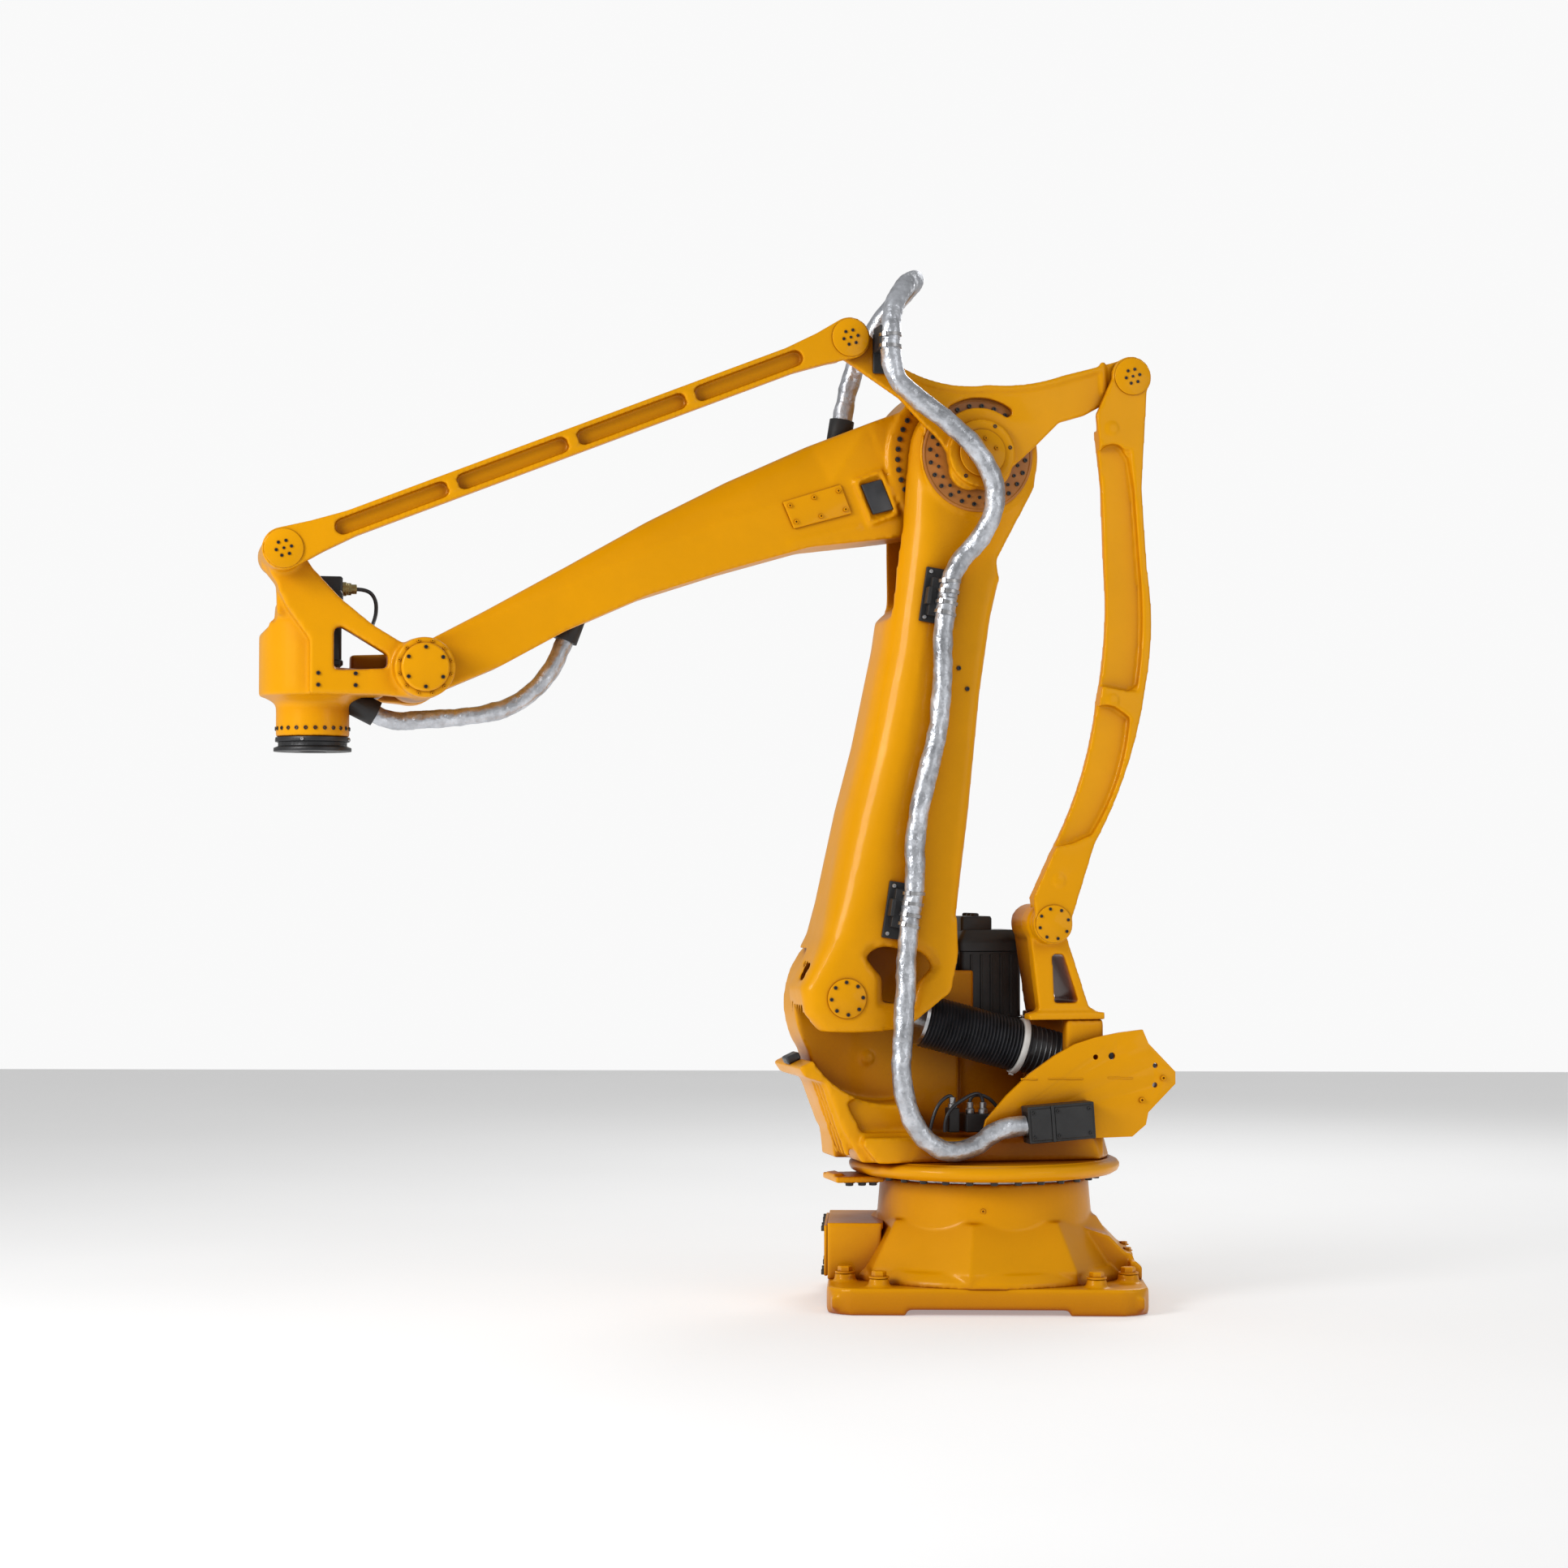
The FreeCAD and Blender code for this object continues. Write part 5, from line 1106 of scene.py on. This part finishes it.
class ROBOT_OT_links(bpy.types.Operator):
    """Bell crank, the two links and the caps of their pivots"""
    bl_idname = "robot.links"
    bl_label = "Links"
    bl_options = {"REGISTER", "UNDO"}

    def execute(self, context):
        self.bell_crank()
        self.front_link()
        self.rear_link()
        self.pivot_caps()
        return {"FINISHED"}

    def bell_crank(self):
        """Bell crank with the rim on its upper edge and its round hub."""
        rim = outline((236, 222), (180, 190), (110, 164, -20, 160), (-130, 168, -200, 188),
                      (-296, 214), (-298, 202), (-200, 172), (-130, 154, -20, 146),
                      (110, 150, 180, 174), (240, 204))
        edge = prism(rim, CRANK_FACE - 6, CRANK_FACE + 5)
        hub = [ring_plate(0, 0, 78, 58, CRANK_FACE, CRANK_FACE + 17)]
        step = prism(outline((-292, 148), (-305, 150), (-300, 224), (-288, 220)), CRANK_FACE - 6,
                     CRANK_FACE + 4)
        shapes = placed([edge, step, *hub], CRANK)
        casting("bell_crank_cast", "bell_crank", ["bell_crank"], adds=shapes, grid=0.0035, rounds=6,
                keep=0.3)
        machined("crank_axle_cap", "lower_arm", [cad_shape("crank_axle")], "paint", ["crank_axle"],
                 edge=0.002)
        screw_set("crank_hub_holes", "bell_crank", near_face(CRANK, 0, CRANK_FACE + 14, 0),
                  [(-66, -14), (-30, -62), (40, 54)], 0.0045)
        screw_ring("crank_cap_screws", "lower_arm", near_face(CRANK, 0, CRANK_FACE + 20, 0), 6, 34,
                   0.0045, 20, finish="paint")

    def front_link(self):
        """Long link with its pressed pockets and round buttons."""
        pitch = (FOREARM_LENGTH - 220) / 4
        buttons = [prism(circle(110 + pitch * number, 0, 13, 24), LINK_FACE - 10, LINK_FACE + 2.5)
                   for number in range(1, 4)]
        pockets = []
        for number in range(4):
            low, high = 110 + pitch * number, 110 + pitch * (number + 1)
            shape = outline((low + 28, -18), (high - 28, -18), (high - 10, 0, high - 28, 18),
                            (low + 28, 18), (low + 10, 0, low + 28, -18))
            pockets.append(prism(shape, LINK_FACE - 19, LINK_FACE + 4))
        casting("front_link_cast", "front_link", ["front_link"],
                adds=placed(buttons, FRONT_LINK),
                cuts=placed(pockets, FRONT_LINK), grid=0.0032, rounds=4, keep=0.35)

    def rear_link(self):
        """Bowed link with its pressed pockets and round buttons."""
        spots = [(-64, 530), (30, ARM_LENGTH - 128), (2, 100)]
        buttons = [prism(circle(x, z, 13, 24), LINK_FACE - 10, LINK_FACE + 2.5) for x, z in spots]
        top = ARM_LENGTH
        pockets = [outline((28, 172), (-12, 330, -17, 498), (-40, 514, -80, 514), (-112, 498),
                           (-106, 360, -62, 217), (-20, 190)),
                   outline((-20, 560), (-16, 700, 8, top - 460), (42, top - 270), (50, top - 190),
                           (34, top - 168, 0, top - 166), (-22, top - 190), (-45, top - 262),
                           (-86, top - 440), (-118, 640, -120, 574), (-100, 558))]
        cuts = [moved(prism(shape, LINK_FACE - 20, LINK_FACE + 4), REAR_LINK) for shape in pockets]
        casting("rear_link_cast", "rear_link", ["rear_link"],
                adds=placed(buttons, REAR_LINK), cuts=cuts, grid=0.0036, rounds=4,
                keep=0.35)

    def pivot_caps(self):
        """Round caps on the link pivots with their screws."""
        caps = [("rear_link_foot_pin", "column", TOWER, 8, 35),
                ("rear_link_top_pin", "bell_crank", CRANK_REAR, 6, 17),
                ("front_link_rear_pin", "bell_crank", CRANK_FRONT, 6, 17),
                ("front_link_front_pin", "wrist", WRIST_TOP, 6, 17)]
        for node, body, centre, count, radius in caps:
            machined(node + "_cap", body, [cad_shape(node)], "paint", [node], edge=0.0018)
            face = near_face(frame_at(centre, AHEAD), 0, CAP_FACE - 1.5, 0)
            screw_ring(node + "_screws", body, face, count, radius, setting("robot_screws", "cap"), 15)
            if radius < 20:
                screw_set(node + "_centre", body, face, [(0, 0)], 0.0032)


# ---------------------------------------------------------------- motors

def motor_shapes(length, half, plug_low):
    """A servo motor along Z: flange, grooved body, end bell and a connector block on its +Y side."""
    skin = rounded_box(half, half, half * 0.22)
    body = stack([(0, 1), (12, 1), (14, 0.94), (length - 62, 0.94), (length - 58, 0.985),
                  (length - 6, 0.985), (length, 0.93)], skin)
    grooves = []
    for turn in range(4):
        for offset in (-0.5, -0.25, 0, 0.25, 0.5):
            rib = block((offset * half - 2.2, half * 0.90, 20), (offset * half + 2.2, half * 0.985,
                        length - 66))
            grooves.append(moved(rib, Matrix.Rotation(math.pi / 2 * turn, 4, "Z")))
    plug = stack([(0, 1), (36, 1), (46, 0.8)], rounded_box(24, 20, 5))
    plug = moved(plug, at(0, half - 4, plug_low) @ Matrix.Rotation(math.radians(-90), 4, "X"))
    return [body, *grooves, plug]


SWIVEL_MOTOR_FOOT = (-26, -100, 640)      # middle of its foot, in the arm frame


class ROBOT_OT_motors(bpy.types.Operator):
    """Black motors and gearboxes of the swivel, shoulder, elbow and wrist"""
    bl_idname = "robot.motors"
    bl_label = "Motors"
    bl_options = {"REGISTER", "UNDO"}

    def execute(self, context):
        self.swivel_motor()
        for name, z, face, gear, length in (("tilt", 0, ARM_FACE, 128, 210),
                                            ("elbow", ARM_LENGTH, DISC_FACE, 108, 180)):
            place = LOWER_ARM @ at(0, -face, z) @ TO_FAR
            profile = [(0, 0), (gear, 0), (gear, 20), (gear - 4, 24), (gear - 14, 27),
                       (gear - 26, 42), (gear - 30, 46), (0, 46)]
            machined(name + "_gearbox_turned", "lower_arm", [moved(turned(profile), place)], "black",
                     [name + "_gearbox"], edge=0.001)
            screw_ring(name + "_gearbox_screws", "lower_arm", place @ at(0, 0, 23), 16, gear - 12,
                       0.0058, finish="steel")
            shapes = motor_shapes(length, 65, length - 30)
            machined(name + "_motor_body", "lower_arm",
                     placed(shapes, place @ at(0, 0, 46)), "black",
                     [name + "_motor"], edge=0.0012)
        self.wrist_motor()
        return {"FINISHED"}

    def swivel_motor(self):
        """Upright motor with its lip, chamfered corner and the bumps of its connectors."""
        place = ARM @ at(*SWIVEL_MOTOR_FOOT)
        skin = rounded_box(80, 80, 12)
        shapes = [stack([(0, 0.97), (14, 0.97), (16, 0.93), (168, 0.93), (170, 0.98), (188, 1),
                         (194, 1), (200, 0.97), (214, 0.86), (220, 0.80)], skin)]
        head = moved(stack([(0, 1), (30, 1), (36, 0.94)], rounded_box(38, 55, 7)),
                     at(29, 0, 216))
        bumps = [moved(turned([(0, 0), (10, 0), (10, 6), (7, 8.5), (0, 8.5)], 20), at(29, y, 251))
                 for y in (-36, 0, 36)]
        for turn in range(4):
            for offset in (-48, -24, 0, 24, 48):
                rib = block((offset - 2.5, 73, 22), (offset + 2.5, 78.5, 162))
                shapes.append(moved(rib, Matrix.Rotation(math.pi / 2 * turn, 4, "Z")))
        machined("swivel_motor_body", "column", placed([*shapes, head, *bumps], place),
                 "black", ["swivel_motor"], edge=0.0012)
        corners = [(x, y) for x in (-64, 64) for y in (-64, 64)]
        screw_set("swivel_motor_screws", "column", place @ at(0, 0, 200), corners, 0.006, "steel")

    def wrist_motor(self):
        """Small upright motor with its cap and a plug for the cable."""
        place = WRIST_FRAME @ at(TOOL_AHEAD, 0, 10)
        skin = rounded_box(63, 63, 11)
        shapes = [stack([(0, 1), (10, 1), (12, 0.95), (120, 0.95), (124, 1), (160, 1), (168, 0.94)],
                        skin)]
        head = moved(stack([(0, 1), (30, 1), (34, 0.92)], rounded_box(33, 45, 6)), at(-30, 0, 167))
        machined("wrist_motor_body", "wrist", placed([*shapes, head], place), "black",
                 ["wrist_motor"], edge=0.0012)
        plug = WRIST_FRAME @ at(TOOL_AHEAD - 63, 0, 186) @ Matrix.Rotation(math.radians(-90), 4, "Y")
        body = [(0, 0), (16, 0), (16, 10), (14, 12), (14, 15), (11, 18), (11, 34), (0, 34)]
        shapes = [turned(body, 36), stack([(14, 1), (22, 1)], circle(0, 0, 14, 6))]
        machined("wrist_motor_plug_body", "wrist", placed(shapes, plug), "brass",
                 ["wrist_motor_plug"], edge=0.0006)


# ---------------------------------------------------------------- balancer

def fold_shape(inner, outer, step):
    """One fold of a bellows round X: a ridge between two valleys."""
    profile = [(inner - 4, 0), (inner, 0), (inner + 1, step * 0.12), (outer - 1, step * 0.38),
               (outer, step * 0.5), (outer - 1, step * 0.62), (inner + 1, step * 0.88),
               (inner, step), (inner - 4, step)]
    shape = ring_of([(r * MM, h * MM) for r, h in profile], 64)
    return moved(shape, TO_FRONT)


class ROBOT_OT_balancer(bpy.types.Operator):
    """Spring balancer: ribbed cylinder, white band and bellows over its rod"""
    bl_idname = "robot.balancer"
    bl_label = "Balancer"
    bl_options = {"REGISTER", "UNDO"}

    def execute(self, context):
        front = 318
        end = max(in_frame(BALANCER, v.co).x for v in frame["nodes"]["balancer_bellows"].data.vertices)
        bellows = self.folds("bellows_folds", front + 1, end - 1, 52, 61.5, 8.6)
        finished(bellows, "rubber", "balancer_cylinder", "balancer_bellows")
        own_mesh(bellows)
        machined("balancer_barrel", "balancer_cylinder", [cad_shape("balancer_cylinder")],
                 "black", ["balancer_cylinder"], edge=0.0015)
        ribs = self.folds("barrel_folds", 62, 302, 51, 57.5, 12.0)
        finished(ribs, "rubber", "balancer_cylinder")
        band = ring_of([(57, 0), (65, 0), (66, 2), (66, 12), (65, 14), (57, 14)], 96)
        screw = block((60, -7, 3), (70, 7, 11))
        place = BALANCER @ at(304, 0, 0) @ TO_FRONT
        machined("bellows_band", "balancer_cylinder", placed([band, screw], place),
                 "band", ["bellows_clamp"], edge=0.0006)
        return {"FINISHED"}

    def folds(self, name, low, high, inner, outer, step):
        """A row of folds between two places on the balancer's axis."""
        copies = round((high - low) / step)
        step = (high - low) / copies
        model = show("model_fold", join([fold_shape(inner, outer, step)]), smooth=0)
        place = in_metres(BALANCER @ at(low, 0, 0))
        thing = tree_of("row").run(name, bpy.data.meshes.new("empty"), place, Copies=copies,
                                   Step=(step * MM, 0, 0), Piece=model, Material=finish_of("rubber"))
        bpy.data.objects.remove(model)
        return thing


# ---------------------------------------------------------------- hoses

# points in the arm frame, except ARM_HOSE in the lower arm's frame and MOTOR_CABLE in the wrist's
FOOT_HOSE = [(-33.1, 231, 418.8), (34, 231, 414.1), (92, 234, 366), (170, 236, 360), (234, 236, 418),
             (262, 234, 516), (256, 228, 630), (245, 216, 742), (240.2, 208, 839.5),
             (229.7, 208, 908.3)]
ARM_HOSE = [(8, 208, 220.2), (8, 208, 292), (25, 208, 372), (23, 208, 490), (6, 208, 622),
            (13, 208, 756), (31, 208, 856), (31, 208, 937.8)]
ELBOW_HOSE = [(143.8, 208, 1622.2), (133.2, 208, 1691.1), (58, 238, 1770), (34, 254, 1866),
              (84, 262, 1960), (168, 262, 2028), (252, 262, 2084), (290.2, 256, 2134),
              (290.2, 256, 2200.1)]
TOP_HOSE = [(290.2, 256, 2200.5), (290.2, 256, 2262), (252, 214, 2328), (204, 158, 2364),
            (200, 102, 2356), (238, 58, 2310), (290, 22, 2232), (328, 2, 2136), (341, 0, 2052)]
WRIST_HOSE = [(995, 0, 1524), (1015, 0, 1470), (1060, 0, 1412), (1130, 0, 1364), (1226, 0, 1347),
              (1322, 0, 1340), (1388, 0, 1334), (1424, 0, 1352)]
MOTOR_CABLE = [(136, 0, 186), (112, 0, 186), (93, 2, 166), (92, 12, 132), (104, 40, 100),
               (112, 74, 84), (118, 102.8, 84)]


def smooth_curve(name, points):
    """A NURBS curve of order three with the points as its control points."""
    curve = bpy.data.curves.new(name, "CURVE")
    curve.dimensions = "3D"
    curve.resolution_u = 16
    spline = curve.splines.new("NURBS")
    spline.points.add(len(points) - 1)
    for point, spot in zip(spline.points, points):
        point.co = (*spot, 1)
    spline.order_u = 3
    spline.use_endpoint_u = True
    return curve


def curve_line(curve):
    """Points along a curve, read from its own evaluated line."""
    thing = put("line", curve)
    mesh = baked(thing)
    points = [v.co.copy() for v in mesh.vertices]
    bpy.data.objects.remove(thing)
    bpy.data.meshes.remove(mesh)
    return points


def round_tube(name, points, radius):
    """A plain round tube along a smooth curve, as a mesh object."""
    curve = smooth_curve(name + "_line", points)
    curve.bevel_depth = radius
    curve.bevel_resolution = 4
    curve.use_fill_caps = True
    thing = put(name + "_line", curve)
    mesh = baked(thing)
    bpy.data.objects.remove(thing)
    return show(name, mesh, smooth=60)


class ROBOT_OT_hoses(bpy.types.Operator):
    """The foil sleeve of the hose and the wrist motor's cable"""
    bl_idname = "robot.hoses"
    bl_label = "Hoses"
    bl_options = {"REGISTER", "UNDO"}

    def execute(self, context):
        big = setting("robot_hose", "radius")
        self.sleeve("hose_foot_sleeve", FOOT_HOSE, ARM, big, 0.793, "hose_foot_loop", "column",
                    ("column", "lower_arm", (250, 230, 400), (246, 214, 850)))
        self.sleeve("hose_arm_sleeve", ARM_HOSE, LOWER_ARM, big, 0.721, "hose_arm_run", "lower_arm")
        self.sleeve("hose_elbow_sleeve", ELBOW_HOSE, ARM, big, 0.716, "hose_elbow_loop",
                    "lower_arm", ("lower_arm", "bell_crank", (120, 220, 1700), (280, 256, 2130)))
        self.sleeve("hose_top_sleeve", TOP_HOSE, ARM, big, 0.641, "hose_top_loop", "bell_crank",
                    ("bell_crank", "forearm", (260, 222, 2330), (280, 30, 2250)))
        self.sleeve("hose_wrist_sleeve", WRIST_HOSE, ARM, big - 0.002, 0.513, "hose_wrist_loop",
                    "forearm", ("forearm", "wrist", (1050, 0, 1410), (1390, 0, 1335)))
        self.cable()
        return {"FINISHED"}

    def sleeve(self, name, points, place, radius, length, node, body, bend=None):
        """One stretch of foil sleeve, left in place in no body where it crosses a joint."""
        route = [place @ Vector(point) for point in points]
        curve = smooth_curve(name, route)
        line = curve_line(curve)
        seed = setting("robot_hose", "seed") + len(name)
        thing = tree_of("sleeve").run(
            name, curve, Matrix.Identity(4), Radius=radius - 0.0005,
            Crumple=setting("robot_hose", "crumple"), Pitch=setting("robot_hose", "pitch"),
            Seed=float(seed), Material=finish_of("foil"))
        thing.data.materials.clear()
        thing.data.materials.append(finish_of("foil"))
        if bend:
            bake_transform(thing)
        else:
            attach(thing, body)
        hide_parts(node)

    def cable(self):
        """Thin cable from the wrist motor's plug into the near cheek."""
        route = [WRIST_FRAME @ Vector(point) for point in MOTOR_CABLE]
        finished(round_tube("wrist_motor_lead", route, 0.0045), "rubber", "wrist",
                 "wrist_motor_cable")


# ---------------------------------------------------------------- clamps, glands and fittings

# node, hose line, middle and both ends of the bracket, how far it reaches forward
CLAMPS = (("lower_hose_clamp", 8, 220, 150, 280, 58), ("upper_hose_clamp", 31, 938, 880, 1006, 80))
CRANK_HOSE_PLACE = (229, 244)      # where the hose passes the bell crank, in the crank's frame
HOSE_LEVEL = 208                   # middle line of the hose across the lower arm
TIE_INNER, TIE_OUTER = 23.6, 26.4


class ROBOT_OT_clamps(bpy.types.Operator):
    """Hose clamps with their straps, glands, the hose socket and small fittings"""
    bl_idname = "robot.clamps"
    bl_label = "Clamps"
    bl_options = {"REGISTER", "UNDO"}

    def execute(self, context):
        for node, u, middle, low, high, reach in CLAMPS:
            shapes = [block((0, ARM_FACE - 9, low), (56, ARM_FACE, high)),
                      block((2, ARM_FACE - 2, low), (reach, ARM_FACE + 7, high)),
                      block((u - 14, ARM_FACE + 5, middle - 44), (reach - 12, 194, middle + 44)),
                      block((reach - 14, ARM_FACE + 5, middle - 20), (reach - 4, 204, middle + 20))]
            machined(node + "_body", "lower_arm", placed(shapes, LOWER_ARM), "plastic",
                     [node], edge=0.0018)
            self.ties(node + "_ties", LOWER_ARM, u, middle, HOSE_LEVEL, (-36, -12, 14, 38),
                      "lower_arm")
            face = near_face(LOWER_ARM, 0, ARM_FACE + 7, 0)
            spots = [(reach - 10, -z) for z in (low + 10, high - 10)]
            screw_set(node + "_screws", "lower_arm", face, spots, 0.0048, "steel")
        x, z = CRANK_HOSE_PLACE
        shapes = [block((202, CRANK_FACE, 176), (256, CRANK_FACE + 9, 266)),
                  block((x - 4, CRANK_FACE + 7, z - 22), (x + 26, 262, z + 34)),
                  block((x - 15, CRANK_FACE + 7, z - 15), (x + 15, 231, z + 15))]
        machined("crank_hose_clamp_body", "bell_crank", placed(shapes, CRANK),
                 "plastic", ["crank_hose_clamp"], edge=0.003, segments=3)
        self.ties("crank_clamp_ties", CRANK, x, z, 256, (-14, 12), "bell_crank")
        for node, body in (("upper_hose_gland", "forearm"), ("lower_hose_gland", "forearm"),
                           ("wrist_hose_gland", "wrist")):
            machined(node + "_body", body, [cad_shape(node)], "plastic", [node], edge=0.0012)
        self.socket()
        self.fittings()
        return {"FINISHED"}

    def ties(self, name, place, u, middle, line, shifts, body):
        """Narrow ties with their locks that hold the sleeve on a clamp."""
        shapes = []
        for shift in shifts:
            band = [(TIE_INNER, -4), (TIE_OUTER, -4), (TIE_OUTER, 4), (TIE_INNER, 4)]
            spot = at(u, line, middle + shift) @ Matrix.Rotation(math.radians(shift / 6), 4, "Y")
            shapes.append(moved(ring_of(band, 40), place @ spot))
            lock = block((-4, 25, -5.5), (5, 31, 5.5))
            shapes.append(moved(lock, place @ spot @ Matrix.Rotation(math.radians(-40), 4, "Z")))
        machined(name, body, shapes, "steel", edge=0.0006)

    def socket(self):
        """Black connector housing on the side plate with its latch, cover lines and screws."""
        place = ARM @ at(-194, 202, 388) @ Matrix.Rotation(math.radians(4), 4, "Y")
        shapes = [block((0, 0, 0), (158, 52, 84)), block((6, 50, 6), (96, 56, 78)),
                  block((104, 50, 6), (152, 56, 78)), block((96, 49, 0), (104, 58, 84)),
                  block((140, 8, 10), (158, 50, 74))]
        machined("hose_socket_body", "column", placed(shapes, place), "plastic",
                 ["hose_socket"], edge=0.0025, segments=3)
        face = near_face(place, 0, 55.5, 0)
        screw_set("hose_socket_screws", "column", face, [(14, -14), (14, -70), (146, -14),
                  (146, -70), (88, -14), (88, -70)], 0.0042)

    def fittings(self):
        """Connectors and short leads in the gap under the balancer."""
        box = [block((20, 60, 396), (78, 128, 438)), block((92, 84, 396), (118, 122, 452))]
        machined("junction_block", "column", placed(box, ARM), "plastic", edge=0.003)
        plugs = [moved(turned([(0, 0), (11, 0), (11, 10), (8, 13), (8, 26), (0, 26)], 28),
                       ARM @ at(x, y, z))
                 for x, y, z in ((34, 112, 438), (62, 100, 438), (105, 104, 450))]
        machined("junction_plugs", "column", plugs, "steel", edge=0.0006)
        leads = [[(34, 112, 462), (36, 112, 486), (70, 120, 482), (132, 126, 440), (128, 122, 398)],
                 [(62, 100, 462), (62, 102, 482), (18, 104, 478), (-20, 100, 430), (-18, 96, 392)],
                 [(105, 104, 474), (110, 104, 486), (150, 108, 452), (160, 106, 396)]]
        for number, points in enumerate(leads):
            name = f"junction_lead_{number + 1}"
            finished(round_tube(name, [ARM @ Vector(p) for p in points], 0.0042), "rubber", "column")


class ROBOT_OT_frame_finish(bpy.types.Operator):
    """Finishes on the frame's own pieces that stay as they are"""
    bl_idname = "robot.frame_finish"
    bl_label = "Frame Pieces"
    bl_options = {"REGISTER", "UNDO"}

    def execute(self, context):
        finishes = {slot: name for name, slot in SLOTS.items()}
        slots = {part["node"]: part["material_slot"] for part in frame["record"]["subparts"]}
        for node, thing in frame["nodes"].items():
            if thing.hide_render:
                continue
            thing.data.materials.clear()
            thing.data.materials.append(finish_of(finishes[slots[node]]))
        return {"FINISHED"}


# ---------------------------------------------------------------- stage

CAMERA_PLACE = (0.221, 7.506, 0.971)
CAMERA_WAY = (0.033, -0.999, 0.031)
ARM_MIDDLE = Vector((0.5, 0, 1.2))     # what the lights aim at
FLOOR_HALF = 9000                      # millimetres from the middle to an edge
FLOOR_GLOW = 0.28                      # keeps the floor near white


class ROBOT_OT_stage(bpy.types.Operator):
    """Pale floor, white surroundings, soft lights and the camera"""
    bl_idname = "robot.stage"
    bl_label = "Stage"
    bl_options = {"REGISTER", "UNDO"}

    def execute(self, context):
        slab = block((-FLOOR_HALF, -FLOOR_HALF, -20), (FLOOR_HALF, FLOOR_HALF, -0.5))
        floor = show("floor", join([slab]), smooth=0)
        floor.data.transform(BASE)
        made = Finish("pale_floor", roughness=0.9, emission_color=(1, 1, 1, 1),
                      emission_strength=FLOOR_GLOW)
        tone = made.mix(made.spread(made.noise(0.8, 3), 0, 1), (0.90, 0.90, 0.90), (0.87, 0.87, 0.87))
        made.set(made.shader, "Base Color", tone)
        floor.data.materials.append(made.material)
        world = bpy.data.worlds.new("white_surroundings")
        world.use_nodes = True
        maker = NodeMaker(world.node_tree)
        # seen directly, the surroundings are brighter than the light that they give
        seen = maker.add("ShaderNodeLightPath").outputs["Is Camera Ray"]
        strength = maker.add("ShaderNodeMapRange", Value=seen, To_Min=setting("robot_studio", "sky"),
                             To_Max=setting("robot_studio", "wall"))
        surroundings = world.node_tree.nodes["Background"]
        maker.set(surroundings, "Color", (1, 1, 1))
        maker.set(surroundings, "Strength", strength.outputs["Result"])
        context.scene.world = world
        context.scene.view_settings.view_transform = "Standard"
        key = setting("robot_studio", "key")
        self.light("key_light", (4.8, 4.4, 3.4), 2.2, key)
        self.light("fill_light", (-4.2, 4.2, 2.6), 3.0, key * 0.2)
        self.light("back_light", (-1.5, -4.5, 4.2), 2.5, key * 0.4)
        camera = bpy.data.cameras.new("camera")
        camera.lens = setting("robot_studio", "lens")
        camera.clip_end = 100
        eye = put("camera", camera)
        eye.location = CAMERA_PLACE
        eye.rotation_euler = Vector(CAMERA_WAY).to_track_quat("-Z", "Y").to_euler()
        context.scene.camera = eye
        return {"FINISHED"}

    def light(self, name, place, side, power):
        """A square soft light aimed at the middle of the arm."""
        lamp = bpy.data.lights.new(name, "AREA")
        lamp.size = side
        lamp.energy = power
        thing = put(name, lamp)
        thing.location = place
        aim = ARM_MIDDLE - Vector(place)
        thing.rotation_euler = aim.to_track_quat("-Z", "Y").to_euler()


OPERATORS = [ROBOT_OT_base, ROBOT_OT_column, ROBOT_OT_lower_arm, ROBOT_OT_forearm, ROBOT_OT_wrist,
             ROBOT_OT_tool_flange, ROBOT_OT_links, ROBOT_OT_motors, ROBOT_OT_balancer,
             ROBOT_OT_hoses, ROBOT_OT_clamps, ROBOT_OT_frame_finish, ROBOT_OT_stage]


class ROBOT_PT_panel(bpy.types.Panel):
    """Sizes, colours and building steps of the robot"""
    bl_idname = "ROBOT_PT_panel"
    bl_label = "Palletising Robot"
    bl_space_type = "VIEW_3D"
    bl_region_type = "UI"
    bl_category = "Robot"

    def draw(self, context):
        for name, group in GROUPS.items():
            box = self.layout.box()
            box.label(text=group.__doc__)
            for field in group.__annotations__:
                box.prop(getattr(context.scene, name), field)
        for operator in OPERATORS:
            self.layout.operator(operator.bl_idname)


def register():
    """Add the classes and the scene's property groups."""
    for group in GROUPS.values():
        bpy.utils.register_class(group)
    for name, group in GROUPS.items():
        setattr(bpy.types.Scene, name, PointerProperty(type=group))
    for operator in OPERATORS:
        bpy.utils.register_class(operator)
    bpy.utils.register_class(ROBOT_PT_panel)


def unregister():
    """Take them away again."""
    bpy.utils.unregister_class(ROBOT_PT_panel)
    for operator in reversed(OPERATORS):
        bpy.utils.unregister_class(operator)
    for name in GROUPS:
        delattr(bpy.types.Scene, name)
    for group in reversed(GROUPS.values()):
        bpy.utils.unregister_class(group)


def main():
    """Build every piece in order."""
    register()
    for operator in OPERATORS:
        step = getattr(bpy.ops.robot, operator.bl_idname.split(".")[1])
        step()


if __name__ == "__main__":
    main()
